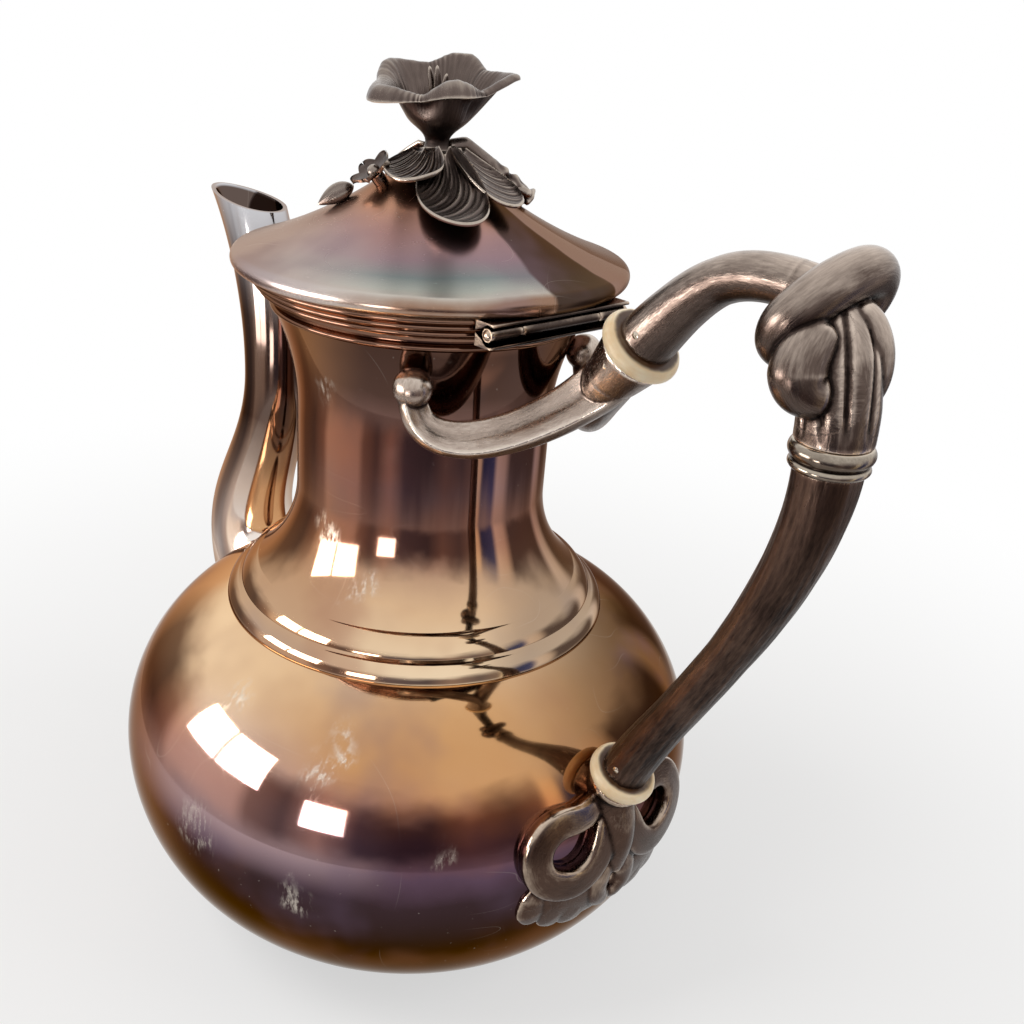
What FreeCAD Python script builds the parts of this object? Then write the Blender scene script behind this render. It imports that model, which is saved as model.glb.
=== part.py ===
import FreeCAD, Part
import math
import os
from types import SimpleNamespace

import Sketcher
from FreeCAD import Placement, Rotation, Vector

# Driving sizes, in millimetres and degrees. The pot stands on z = 0 with its axis on Z, the handle
# is on +X and the spout on -X.
SIZES = (
    ("wall", 1.2, "thickness of the raised sheet"),
    ("solder_gap", 0.05, "film between two soldered pieces"),
    ("foot_inset", 1.0, "how far the foot wire stands inside the belly's lower edge"),
    ("foot_width", 3.0, "width of the foot wire's flat"),
    ("foot_height", 3.0, "height of the foot wire"),
    ("base_inset", 37.5, "how much narrower the belly is at the foot than at its widest line"),
    ("base_thickness", 1.4, "thickness of the base disc"),
    ("belly_radius", 79.5, "largest outer radius of the belly"),
    ("belly_drop", 51.0, "height of the belly's widest line above the foot wire"),
    ("belly_rise", 41.0, "height of the shoulder above the belly's widest line"),
    ("shoulder_inset", 28.1, "how much narrower the shoulder is than the belly's widest line"),
    ("shoulder_land", 3.8, "width of the land that carries the neck"),
    ("step_bead", 2.0, "height of a rounded shoulder step"),
    ("step_ease", 0.8, "radius lost over the lower rounded step"),
    ("step_top", 1.6, "radius lost over the upper rounded step"),
    ("step_rise", 5.4, "height between the two shoulder steps"),
    ("step_run", 4.1, "radius lost between the two shoulder steps"),
    ("neck_inset", 18.6, "how much narrower the waist of the neck is than the shoulder"),
    ("neck_flare", 25.55, "height of the neck's foot flare"),
    ("neck_waist", 20.0, "height of the straight waist of the neck"),
    ("mouth_flare", 26.0, "height of the neck's mouth flare"),
    ("mouth_spread", 5.8, "radius gained over the mouth flare"),
    ("rim_spread", 6.9, "how far the mouth moulding stands out from the neck"),
    ("moulding_height", 9.6, "height of the mouth moulding"),
    ("bead_height", 1.8, "height of the moulding's lowest bead"),
    ("bead_swell", 0.9, "how far the cove starts outside the lowest bead"),
    ("fillet_height", 1.3, "height of the moulding's upper edge"),
    ("lid_gap", 0.3, "air between the closed lid and its seat"),
    ("lid_bead", 2.35, "radius of the lid's rim wire"),
    ("lid_overhang", 3.5, "how far the lid stands out over the mouth moulding"),
    ("lid_rise", 21.5, "height of the lid's cone above its rim wire"),
    ("lid_crown", 7.0, "radius of the flat at the top of the lid"),
    ("lid_hollow", 95.0, "height above the lid's top of the centre of its hollow slope"),
    ("bezel_play", 0.6, "air between the lid's bezel and the mouth"),
    ("bezel_depth", 4.0, "how far the bezel reaches into the mouth"),
    ("hinge_inset", 0.5, "distance of the hinge pin inside the moulding's edge"),
    ("hinge_drop", 2.4, "distance of the hinge pin below the lid's seat"),
    ("hinge_half", 21.4, "half the length of the hinge"),
    ("hinge_mid", 12.0, "half the length of the lid's knuckle"),
    ("knuckle_radius", 2.2, "outer radius of the hinge knuckles"),
    ("pin_radius", 0.9, "radius of the hinge pin"),
    ("run_gap", 0.05, "radial play of pins and of the finial's screw"),
    ("knuckle_gap", 0.2, "air beside and around a moving knuckle"),
    ("leaf_split", 0.1, "half the air between the two hinge leaves"),
    ("leaf_depth", 4.0, "how far the hinge leaves reach inwards"),
    ("leaf_height", 3.0, "height of the lower hinge leaf"),
    ("hole_radius", 2.0, "radius of a strainer hole"),
    ("hole_pitch", 6.0, "distance from the middle strainer hole to the others"),
    ("hole_rise", 12.0, "height of the middle strainer hole above the belly's widest line"),
    ("spout_set", 17.5, "depth of the spout's start inside the belly's widest radius"),
    ("spout_stand", 8.5, "distance of the spout's waist inside the belly's widest radius"),
    ("spout_fall", 45.6, "height of the spout's waist below the lid's seat"),
    ("spout_reach", 23.8, "distance of the spout's tip outside the belly"),
    ("spout_rise", 5.6, "height of the spout's tip above the lid's seat"),
    ("lip_back", 11.1, "distance of the uncut lip's middle behind the tip"),
    ("lip_over", 9.5, "height of the uncut lip's middle over the tip"),
    ("lip_slope", 6.0, "fall of the spout's lip towards the pot, in degrees"),
    ("lip_lean", 38.0, "lean of the spout at its lip from upright, in degrees"),
    ("root_out", 48.0, "outward pull of the spout at its root"),
    ("root_up", 30.0, "upward pull of the spout at its root"),
    ("waist_down", 36.0, "downward pull of the spout at its waist"),
    ("waist_up", 24.0, "upward pull of the spout at its waist"),
    ("lip_pull", 18.0, "pull of the spout at its lip"),
    ("root_taper", 1.6, "power of the spout's taper above its root"),
    ("lip_taper", 1.4, "power of the spout's swell towards its lip"),
    ("root_long", 20.0, "half the height of the spout at its root"),
    ("root_wide", 17.2, "half the width of the spout at its root"),
    ("waist_long", 9.6, "half the depth of the spout's waist"),
    ("waist_wide", 9.4, "half the width of the spout's waist"),
    ("lip_long", 14.6, "half the length of the spout's lip"),
    ("lip_wide", 8.0, "half the width of the spout's lip"),
    ("ring_radius", 9.2, "outer radius of the upper insulating ring"),
    ("low_ring_radius", 8.2, "outer radius of the lower insulating ring"),
    ("ring_thickness", 4.2, "thickness of the insulating rings"),
    ("spigot_radius", 4.4, "radius of the upper ring's spigots"),
    ("low_spigot_radius", 3.2, "radius of the lower ring's spigots"),
    ("spigot_length", 6.0, "length of a spigot"),
    ("short_spigot", 3.0, "length of the lower ring's lower spigot"),
    ("cross_pin_radius", 0.8, "radius of the cross pins"),
    ("pin_proud", 0.2, "how far a cross pin stands out of the metal"),
    ("upper_reach", 23.8, "distance of the upper ring outside the mouth moulding"),
    ("upper_drop", 1.5, "height of the upper ring below the lid's seat"),
    ("lower_reach", 0.3, "distance of the lower ring outside the belly"),
    ("lower_rise", 25.6, "height of the lower ring above the belly's widest line"),
    ("upper_lean", 39.0, "lean of the upper ring's axis from upright, in degrees"),
    ("lower_lean", 24.5, "lean of the lower ring's axis from upright, in degrees"),
    ("tube_radius", 4.7, "radius of the handle's upper tube"),
    ("tube_end", 6.4, "radius of the handle at the upper ring"),
    ("tube_taper", 1.8, "power of the handle's taper"),
    ("tube_pull", 21.0, "pull of the upper tube at the ring"),
    ("bend_pull", 15.0, "pull of the upper tube at the knot"),
    ("bend_back", 12.5, "distance of the knot's entry inside the collar's line"),
    ("bend_rise", 19.0, "height of the knot's entry above the lid's seat"),
    ("turn_pull", 8.0, "pull of the strand that turns down at the knot's entry"),
    ("bundle_pull", 14.0, "pull of the strand that turns down at the collar"),
    ("collar_reach", 47.5, "distance of the collar outside the upper insulating ring"),
    ("collar_drop", 7.1, "height of the collar's upper face below the lid's seat"),
    ("collar_height", 5.4, "height of the collar"),
    ("collar_radius", 8.2, "largest radius of the collar"),
    ("collar_step", 1.08, "how far the collar's band swells from its edges"),
    ("collar_lip", 1.95, "height of the collar's lower ring"),
    ("bundle_radius", 7.3, "radius of the knot where it meets the collar"),
    ("wrap_radius", 7.4, "radius of the middle line of the strand that wraps the knot"),
    ("wrap_lift", 1.8, "height of the wrap's middle above the strand that it goes round"),
    ("strand_radius", 4.6, "radius of the strand that wraps the knot"),
    ("lobe_radius", 4.0, "radius of the near strand that curls below the wrap"),
    ("lobe_out", 11.5, "how far the near strand swings towards -Y"),
    ("lobe_back", 3.0, "how far the near strand swings towards the pot"),
    ("lobe_drop", 14.5, "height over which the near strand curls"),
    ("fold_radius", 3.3, "radius of the far strand that runs down to the collar"),
    ("fold_out", 7.5, "how far the far strand swings towards +Y"),
    ("fold_swing", 9.0, "how far the far strand swings away from the pot"),
    ("fold_drop", 16.0, "height over which the far strand runs down"),
    ("grip_top", 6.6, "radius of the grip under the collar"),
    ("grip_waist", 4.8, "radius of the grip's thin part"),
    ("grip_end", 5.7, "radius of the grip at the lower ring"),
    ("grip_pull", 30.0, "pull of the grip below the collar"),
    ("grip_rise", 27.0, "pull of the grip above the lower ring"),
    ("tenon_radius", 3.4, "radius of the grip's tenon in the collar"),
    ("tenon_depth", 4.0, "how far the tenon reaches into the knot"),
    ("socket_length", 13.4, "length of the upper bracket's socket"),
    ("socket_top", 7.5, "radius of the socket under the upper ring"),
    ("socket_waist", 6.2, "radius of the socket at its middle"),
    ("socket_end", 4.9, "radius of the socket where it forks"),
    ("ball_radius", 4.6, "radius of the bracket's balls"),
    ("ball_drop", 17.6, "height of the bracket's balls below the lid's seat"),
    ("ball_angle", 44.0, "angle of the balls round the neck from the handle, in degrees"),
    ("ball_gap", 0.15, "air between a ball and the neck"),
    ("arm_seat", 3.0, "how far a bracket arm starts inside its socket"),
    ("arm_top", 4.4, "radius of a bracket arm at the fork"),
    ("arm_end", 2.6, "radius of a bracket arm at its ball"),
    ("arm_pull", 20.0, "pull of a bracket arm at the fork"),
    ("arm_spread", 6.0, "sideways pull of a bracket arm at the fork"),
    ("arm_dip", 19.0, "downward pull of a bracket arm under its ball"),
    ("arm_swing", 5.0, "outward pull of a bracket arm under its ball"),
    ("scroll_thickness", 3.6, "thickness of the scroll plate on the belly"),
    ("scroll_across", 16.0, "distance of a scroll's middle from the handle's plane"),
    ("scroll_rise", 6.5, "height of a scroll's middle above the belly's widest line"),
    ("scroll_radius", 11.0, "outer radius of a scroll"),
    ("scroll_eye", 4.6, "radius of a scroll's eye"),
    ("eye_shift", 1.0, "distance of a scroll's eye inside the scroll's middle"),
    ("tail_radius", 6.4, "radius of a scroll's tail"),
    ("tail_out", 5.0, "distance of the tail outside the scroll's middle"),
    ("tail_drop", 14.0, "height of the tail below the scroll's middle"),
    ("heel_radius", 6.7, "radius of the lobe beside the stem's foot"),
    ("heel_in", 6.5, "distance of the lobe inside the scroll's middle"),
    ("heel_drop", 16.5, "height of the lobe below the scroll's middle"),
    ("slot_radius", 3.3, "radius of the opening under the stem"),
    ("slot_drop", 9.5, "height of the opening below the scroll's middle"),
    ("web_width", 11.0, "width of the web between the scrolls"),
    ("web_drop", 13.0, "height of the web's foot below the scroll's middle"),
    ("web_height", 27.0, "height of the web between the scrolls"),
    ("stem_top", 6.9, "radius of the lower bracket's stem under its ring"),
    ("stem_end", 2.6, "radius of the stem's foot"),
    ("stem_pull", 9.0, "pull of the stem at its two ends"),
    ("stem_proud", 1.2, "how far the stem's foot stands outside the belly"),
    ("stud_radius", 1.6, "radius of the finial's screw"),
    ("stud_proud", 1.6, "how far the screw stands out of its nut"),
    ("stud_hold", 4.8, "how far the screw reaches into the flower"),
    ("nut_height", 3.2, "height of the finial's nut"),
    ("hub_height", 2.4, "height of the mound under the flower"),
    ("stem_radius", 3.2, "radius of the flower's stem"),
    ("stem_waist", 3.0, "radius of the stem's middle"),
    ("stem_length", 6.6, "height of the flower's stem, to its throat"),
    ("flower_radius", 17.8, "radius of the tips of the flower's lip"),
    ("flower_rise", 20.95, "height of the flower's highest tip above its foot"),
    ("throat_radius", 4.8, "radius of the flower's throat"),
    ("bell_radius", 9.8, "radius of the flower's bell below its lip"),
    ("bell_fall", 4.6, "height of the flower's lip above its bell"),
    ("bell_wave", 0.7, "swing of the flower's bell in radius"),
    ("bell_lift", 0.4, "swing of the flower's bell in height"),
    ("lip_wave", 1.2, "swing of the flower's lip in radius"),
    ("lip_lift", 2.2, "swing of the flower's lip in height"),
    ("petal", 1.1, "thickness of the flower's petals"),
    ("petal_count", 5, "number of lobes of the flower and of the blossom"),
    ("pistil_height", 8.0, "height of the pistil above the throat"),
    ("pistil_radius", 1.3, "radius of the pistil's head"),
    ("pistil_stem", 0.9, "radius of the pistil's stem"),
    ("cast_leaf", 1.4, "thickness of the cast leaves"),
    ("leaf_lift", 0.6, "air under the cast leaves"),
    ("leaf_cup", 0.08, "fall of a leaf's edges for each unit of its half width"),
    ("leaf_drape", 0.7, "share of the lid's fall that a leaf's edges follow"),
    ("leaf_blunt", 0.06, "share of half a wave that is cut off each end of a leaf"),
    ("leaf_round", 0.6, "power that rounds the outline of a leaf"),
    ("leaf_play", 0.4, "air between the leaves and the mound"),
    ("blossom_petal", 2.5, "radius of one of the blossom's petals"),
    ("blossom_spread", 3.0, "distance of a petal's middle from the blossom's axis"),
    ("blossom_eye", 2.0, "radius of the blossom's eye"),
    ("blossom_out", 17.0, "distance of the blossom from the lid's axis"),
    ("blossom_turn", -136.0, "direction of the blossom round the lid, in degrees"),
    ("blossom_lift", 2.6, "height of the blossom over the lid"),
    ("blossom_lean", 35.5, "lean of the blossom's axis from upright, in degrees"),
    ("blossom_dish", 14.0, "upward tilt of the blossom's petals, in degrees"),
    ("bud_out", 22.5, "distance of the bud from the lid's axis"),
    ("bud_turn", -112.0, "direction of the bud round the lid, in degrees"),
    ("bud_lift", 2.2, "height of the bud over the lid"),
    ("bud_half", 3.6, "half the length of the bud"),
    ("bud_radius", 1.8, "largest radius of the bud"),
    ("twig_reach", 24.0, "distance of the twig's end from the lid's axis"),
    ("twig_turn", 84.0, "direction of the twig round the lid, in degrees"),
    ("twig_lift", 2.0, "height of the twig over the lid"),
    ("twig_radius", 1.3, "radius of the twig"),
)

# The cast leaves on the lid: direction round the lid in degrees, reach from its axis and width
LEAVES = (
    SimpleNamespace(name="front", azimuth=-25.0, reach=27.0, width=19.0),
    SimpleNamespace(name="right", azimuth=42.0, reach=22.0, width=12.0),
    SimpleNamespace(name="left", azimuth=-94.0, reach=19.0, width=11.0),
    SimpleNamespace(name="back", azimuth=150.0, reach=22.0, width=16.0),
)

doc = FreeCAD.newDocument("coffee_pot")
sheet = doc.addObject("Spreadsheet::Sheet", "sizes")
for row, (alias, value, meaning) in enumerate(SIZES, start=1):
    sheet.set(f"A{row}", meaning)
    sheet.set(f"B{row}", str(value))
    sheet.setAlias(f"B{row}", alias)
doc.recompute()


class Dim:
    """A size with its value and the sheet expression that gives it."""

    def __init__(self, text, value):
        self.text = text
        self.value = value

    def _join(self, sign, other, result):
        text = other.text if isinstance(other, Dim) else repr(other)
        return Dim(f"({self.text} {sign} {text})", result)

    def __add__(self, other):
        return self._join("+", other, self.value + number(other))

    def __sub__(self, other):
        return self._join("-", other, self.value - number(other))

    def __mul__(self, other):
        return self._join("*", other, self.value * number(other))

    def __truediv__(self, other):
        return self._join("/", other, self.value / number(other))


def number(size):
    """The plain value of a size or a number."""
    return size.value if isinstance(size, Dim) else float(size)


D = SimpleNamespace(**{alias: Dim(f"sizes.{alias}", float(sheet.get(alias))) for alias, _, _ in SIZES})

# Heights and radii that follow from the driving sizes, and the plain values of all of them

D.base_radius = D.belly_radius - D.base_inset
D.foot_radius = D.base_radius - D.foot_inset
D.shoulder_radius = D.belly_radius - D.shoulder_inset
D.neck_radius = D.shoulder_radius - D.neck_inset
D.belly_height = D.foot_height + D.belly_drop
D.shoulder_height = D.belly_height + D.belly_rise
D.neck_bottom = D.shoulder_height + D.solder_gap
D.second_top = D.neck_bottom + D.step_bead + D.step_rise
D.second_radius = D.shoulder_radius - D.step_run
D.flare_foot = D.second_radius - D.step_top
D.neck_low = D.second_top + D.neck_flare
D.neck_high = D.neck_low + D.neck_waist
D.mouth_height = D.neck_high + D.mouth_flare
D.mouth_radius = D.neck_radius + D.mouth_spread
D.mouth_wall = D.mouth_radius - D.wall
D.rim_height = D.mouth_height + D.moulding_height
D.rim_radius = D.mouth_radius + D.rim_spread
D.lid_radius = D.rim_radius + D.lid_overhang
D.hinge_out = D.rim_radius - D.hinge_inset
D.hinge_height = D.rim_height - D.hinge_drop
D.hole_height = D.belly_height + D.hole_rise
D.spout_tip = D.belly_radius + D.spout_reach
D.spout_top = D.rim_height + D.spout_rise
D.handle_out = D.rim_radius + D.upper_reach + D.collar_reach
D.collar_top = D.rim_height - D.collar_drop
D.ball_height = D.rim_height - D.ball_drop
D.scroll_height = D.belly_height + D.scroll_rise
V = SimpleNamespace(**{alias: size.value for alias, size in vars(D).items()})
ZERO = Dim("0", 0.0)
UP = Vector(0, 0, 1)
ACROSS = Vector(0, 1, 0)
OUT = Vector(1, 0, 0)
CENTRE = Vector(0, 0, 0)
FULL_TURN = 360.0
TINY = 1e-6
NODES = {}


def keep(obj, label):
    """Gives a sub-part its label and lists it as a node."""
    obj.Label = label
    NODES[label] = obj
    return obj


def origin_plane(body, role):
    """One of the three planes through a body's origin."""
    return next(f for f in body.Origin.OriginFeatures if f.Role == role)


def arc_middle(start, end, axis, centre_value, bulge):
    """The middle point of the arc whose centre has one coordinate given; bulge is left or right of travel."""
    chord = end - start
    half = (start + end) / 2
    across = Vector(-chord.y, chord.x, 0)
    part = across.x if axis == "r" else across.y
    have = half.x if axis == "r" else half.y
    centre = half + across * ((centre_value - have) / part) if abs(part) > TINY else half
    radius = (start - centre).Length
    side = 1.0 if bulge == "left" else -1.0
    return centre + across.normalize() * side * radius


def draw_outline(sketch, corners):
    """Draws a closed outline of (radius, height, arc) corners and binds every corner to the sheet.

    An arc is None for a straight edge, or (axis, size, bulge): the coordinate of its centre along the
    axis "r" or "z", and the side of the line of travel that it swells to.
    """
    points = [Vector(number(r), number(z), 0) for r, z, _ in corners]
    edges = []
    for k, (_, _, arc) in enumerate(corners):
        start, end = points[k], points[(k + 1) % len(points)]
        if arc is None:
            edges.append(sketch.addGeometry(Part.LineSegment(start, end)))
        else:
            axis, size, bulge = arc
            middle = arc_middle(start, end, axis, number(size), bulge)
            edges.append(sketch.addGeometry(Part.Arc(start, middle, end)))
    starts = [1 if (sketch.getPoint(g, 1) - points[k]).Length < TINY else 2 for k, g in enumerate(edges)]
    for k, g in enumerate(edges):
        last_end = 3 - starts[k - 1]
        sketch.addConstraint(Sketcher.Constraint("Coincident", edges[k - 1], last_end, g, starts[k]))
    for k, (r, z, arc) in enumerate(corners):
        bind_point(sketch, edges[k], starts[k], r, z)
        if arc is not None:
            axis, size, _ = arc
            bind_point(sketch, edges[k], 3, size if axis == "r" else None, size if axis == "z" else None)


def bind_point(sketch, edge, point, across, up):
    """Ties a point of a sketch to sheet sizes measured from the sketch's origin."""
    for kind, axis, size in (("DistanceX", -2, across), ("DistanceY", -1, up)):
        if size is None:
            continue
        if abs(number(size)) < TINY:
            sketch.addConstraint(Sketcher.Constraint("PointOnObject", edge, point, axis))
            continue
        index = sketch.addConstraint(Sketcher.Constraint(kind, -1, 1, edge, point, number(size)))
        if isinstance(size, Dim):
            sketch.setExpression(f"Constraints[{index}]", size.text)


def turned(name, corners):
    """A body turned about Z from an outline of radius and height."""
    body = doc.addObject("PartDesign::Body", name)
    sketch = body.newObject("Sketcher::SketchObject", f"{name}_outline")
    sketch.AttachmentSupport = [(origin_plane(body, "XZ_Plane"), "")]
    sketch.MapMode = "FlatFace"
    draw_outline(sketch, corners)
    turn = body.newObject("PartDesign::Revolution", f"{name}_turn")
    turn.Profile = sketch
    turn.ReferenceAxis = (sketch, ["V_Axis"])
    turn.Angle = FULL_TURN
    body.Tip = turn
    doc.recompute()
    return body


def bound(kind, name, place=None, **sizes):
    """A primitive whose properties are bound to sizes."""
    obj = doc.addObject(kind, name)
    for prop, size in sizes.items():
        obj.setExpression(prop, size.text)
    if place is not None:
        obj.Placement = place
    doc.recompute()
    return obj


def cut(name, base, *tools):
    """The base less its tools, as a boolean of the document."""
    result = base
    for k, tool in enumerate(tools):
        step = doc.addObject("Part::Cut", name if k == len(tools) - 1 else f"{name}_cut_{k}")
        step.Base = result
        step.Tool = tool
        result = step
    doc.recompute()
    return result


def fuse(name, *shapes):
    """Several shapes as one, as a boolean of the document."""
    obj = doc.addObject("Part::MultiFuse", name)
    obj.Shapes = list(shapes)
    obj.Refine = True
    doc.recompute()
    return obj


def feature(name, shape, place=None):
    """A free-form shape as an object of the document."""
    obj = doc.addObject("Part::Feature", name)
    obj.Shape = shape
    if place is not None:
        obj.Placement = place
    return obj


def largest(shape):
    """The largest solid of a shape, without the offcuts of a boolean."""
    return max(shape.Solids, key=lambda solid: solid.Volume)


def along(direction, centre):
    """A placement that takes Z to a direction and the origin to a centre."""
    return Placement(centre, Rotation(UP, direction))


def leaning(degrees):
    """The unit direction in the plane of the handle that leans outwards from upright."""
    return Vector(math.sin(math.radians(degrees)), 0, math.cos(math.radians(degrees)))


def bezier(start, pull_start, pull_end, end, count):
    """Points and tangents, evenly spaced in parameter, on a cubic curve given by its four poles."""
    rows = []
    for k in range(count):
        t = k / (count - 1)
        point = (
            start * (1 - t) ** 3
            + pull_start * (3 * t * (1 - t) ** 2)
            + pull_end * (3 * t**2 * (1 - t))
            + end * t**3
        )
        tangent = (
            (pull_start - start) * (1 - t) ** 2
            + (pull_end - pull_start) * (2 * t * (1 - t))
            + (end - pull_end) * t**2
        )
        rows.append((point, tangent.normalize()))
    return rows


def through(points):
    """Points with the tangents of a smooth curve through them."""
    rows = []
    for k, point in enumerate(points):
        before = points[max(k - 1, 0)]
        after = points[min(k + 1, len(points) - 1)]
        rows.append((point, (after - before).normalize()))
    return rows


def tube(rows, radii):
    """A round bar lofted through circles square to a curve, each started at the same side of the bar."""
    first = rows[0][1]
    side = first.cross(OUT) if abs(first.dot(OUT)) < abs(first.dot(ACROSS)) else first.cross(ACROSS)
    rings = []
    for (point, tangent), radius in zip(rows, radii):
        side = (side - tangent * side.dot(tangent)).normalize()
        other = tangent.cross(side)
        circle = Part.Circle(point + side * radius, point + other * radius, point - side * radius)
        rings.append(Part.Wire(circle.toShape()))
    return Part.makeLoft(rings, True, False)


def blend(values, count):
    """Values spread evenly over a count of stations, with straight lines between them."""
    spans = len(values) - 1
    out = []
    for k in range(count):
        place = k / (count - 1) * spans
        low = min(int(place), spans - 1)
        out.append(values[low] + (values[low + 1] - values[low]) * (place - low))
    return out


def taper(start, end, count, power):
    """Values that run from start to end over a count of stations, quickest at the start."""
    return [end + (start - end) * (1 - k / (count - 1)) ** power for k in range(count)]


def mirrored(shape):
    """The shape on the other side of the plane of the handle."""
    return shape.mirror(CENTRE, ACROSS)


# Belly in two raised halves that meet at its widest line, base and foot

inner_base = D.base_radius - D.wall
belly_wall = D.belly_radius - D.wall
shoulder_inner = D.shoulder_radius - D.shoulder_land
seam = D.belly_height + D.solder_gap
keep(turned("belly_lower", [
    (D.base_radius, D.foot_height, ("z", D.belly_height, "right")),
    (D.belly_radius, D.belly_height, None),
    (belly_wall, D.belly_height, ("z", D.belly_height, "left")),
    (inner_base, D.foot_height, None),
]), "belly_lower")
upper_half = turned("upper_half", [
    (D.belly_radius, seam, ("z", seam, "right")),
    (D.shoulder_radius, D.shoulder_height, None),
    (shoulder_inner, D.shoulder_height, ("z", seam, "left")),
    (belly_wall, seam, None),
])

outer_holes = 6
hole_places = [(0.0, 0.0)]
for k in range(outer_holes):
    angle = 2 * math.pi * k / outer_holes
    hole_places.append((math.cos(angle), math.sin(angle)))
strainer_drills = []
for k, (across, up) in enumerate(hole_places):
    drill = bound(
        "Part::Cylinder",
        f"strainer_drill_{k}",
        Placement(CENTRE, Rotation(UP, OUT * -1)),
        Radius=D.hole_radius,
        Height=D.belly_radius,
    )
    drill.setExpression("Placement.Base.y", (D.hole_pitch * across).text)
    drill.setExpression("Placement.Base.z", (D.hole_height + D.hole_pitch * up).text)
    strainer_drills.append(drill)
drills = fuse("strainer_drills", *strainer_drills)
keep(cut("belly_upper", upper_half, drills), "belly_upper")

disc_radius = inner_base - D.solder_gap
disc_top = D.foot_height + D.base_thickness
keep(turned("base_disc", [
    (ZERO, D.foot_height, None),
    (disc_radius, D.foot_height, None),
    (disc_radius, disc_top, None),
    (ZERO, disc_top, None),
]), "base_disc")

foot_top = D.foot_height - D.solder_gap
foot_inner = D.foot_radius - D.foot_width
keep(turned("foot_wire", [
    (foot_inner, ZERO, None),
    (D.foot_radius, ZERO, ("r", D.foot_radius - D.solder_gap, "right")),
    (D.foot_radius, foot_top, None),
    (foot_inner, foot_top, None),
]), "foot_wire")

# Neck with the two rounded steps of the shoulder

bead_half = D.step_bead / 2
first_top = D.neck_bottom + D.step_bead
second_low = D.second_top - D.step_bead
neck_wall = D.neck_radius - D.wall
keep(turned("neck_shell", [
    (D.shoulder_radius, D.neck_bottom, ("r", D.shoulder_radius - bead_half, "right")),
    (D.shoulder_radius - D.step_ease, first_top, None),
    (D.second_radius, second_low, ("r", D.second_radius - bead_half, "right")),
    (D.flare_foot, D.second_top, ("z", D.neck_low, "left")),
    (D.neck_radius, D.neck_low, None),
    (D.neck_radius, D.neck_high, ("z", D.neck_high, "left")),
    (D.mouth_radius, D.mouth_height, None),
    (D.mouth_wall, D.mouth_height, ("z", D.neck_high, "right")),
    (neck_wall, D.neck_high, None),
    (neck_wall, D.neck_low, ("z", D.neck_low, "right")),
    (D.flare_foot - D.wall - D.step_ease, D.second_top - D.step_ease, None),
    (shoulder_inner, D.neck_bottom, None),
]), "neck_shell")

# Mouth moulding, notched for the hinge

moulding_low = D.mouth_height + D.solder_gap
bead_top = moulding_low + D.bead_height
edge_low = D.rim_height - D.fillet_height
moulding_blank = turned("moulding_blank", [
    (D.mouth_radius, moulding_low, ("r", D.mouth_radius, "right")),
    (D.mouth_radius, bead_top, None),
    (D.mouth_radius + D.bead_swell, bead_top, ("z", bead_top, "left")),
    (D.rim_radius - D.bead_swell, edge_low, None),
    (D.rim_radius, edge_low, None),
    (D.rim_radius, D.rim_height, None),
    (D.mouth_wall, D.rim_height, None),
    (D.mouth_wall, moulding_low, None),
])
leaf_inner = D.hinge_out - D.leaf_depth
low_leaf_top = D.hinge_height - D.leaf_split
leaf_low = low_leaf_top - D.leaf_height
notch_half = D.hinge_half + D.knuckle_gap
notch = bound("Part::Box", "hinge_notch", Length=D.rim_radius, Width=notch_half * 2, Height=D.rim_height)
notch.setExpression("Placement.Base.x", (leaf_inner - D.solder_gap).text)
notch.setExpression("Placement.Base.y", (notch_half * -1).text)
notch.setExpression("Placement.Base.z", (leaf_low - D.solder_gap).text)
keep(cut("mouth_moulding", moulding_blank, notch), "mouth_moulding")

# Lid: rim wire, hollow cone, bezel

seat_top = D.rim_height + D.lid_gap
wire_radius = D.lid_radius - D.lid_bead
wire_height = seat_top + D.lid_bead
dome_low = wire_height + D.lid_bead + D.solder_gap
dome_top = dome_low + D.lid_rise
dome_under = dome_top - D.wall
stud_hole = D.stud_radius + D.run_gap
lid_wire = bound("Part::Torus", "lid_rim_wire", Radius1=wire_radius, Radius2=D.lid_bead)
lid_wire.setExpression("Placement.Base.z", wire_height.text)
keep(lid_wire, "lid_rim_wire")
slope_height = dome_top + D.lid_hollow
keep(turned("lid_dome", [
    (wire_radius, dome_low, ("z", slope_height, "left")),
    (D.lid_crown, dome_top, None),
    (stud_hole, dome_top, None),
    (stud_hole, dome_under, None),
    (D.lid_crown - D.wall / 2, dome_under, ("z", slope_height, "right")),
    (wire_radius - D.wall * 2, dome_low, None),
]), "lid_dome")
bezel_outer = D.mouth_wall - D.bezel_play
bezel_inner = bezel_outer - D.wall
bezel_low = D.rim_height - D.bezel_depth
flange_radius = D.lid_radius - D.lid_bead * 2 - D.solder_gap
keep(turned("lid_bezel", [
    (bezel_inner, bezel_low, None),
    (bezel_outer, bezel_low, None),
    (bezel_outer, seat_top, None),
    (flange_radius, seat_top, None),
    (flange_radius, seat_top + D.wall, None),
    (bezel_inner, seat_top + D.wall, None),
]), "lid_bezel")

# Hinge: lower leaf with the end knuckles, upper leaf with the middle knuckle, pin

pin_way = Rotation(UP, ACROSS)


def barrel(name, radius, low, high):
    """A cylinder on the hinge line between two places along it."""
    obj = bound("Part::Cylinder", name, Placement(CENTRE, pin_way), Radius=radius, Height=high - low)
    obj.setExpression("Placement.Base.x", D.hinge_out.text)
    obj.setExpression("Placement.Base.y", low.text)
    obj.setExpression("Placement.Base.z", D.hinge_height.text)
    return obj


def block(name, low, high):
    """A box between two corners of sizes."""
    obj = bound("Part::Box", name, Length=high[0] - low[0], Width=high[1] - low[1], Height=high[2] - low[2])
    for axis, size in zip("xyz", low):
        obj.setExpression(f"Placement.Base.{axis}", size.text)
    doc.recompute()
    return obj


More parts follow.
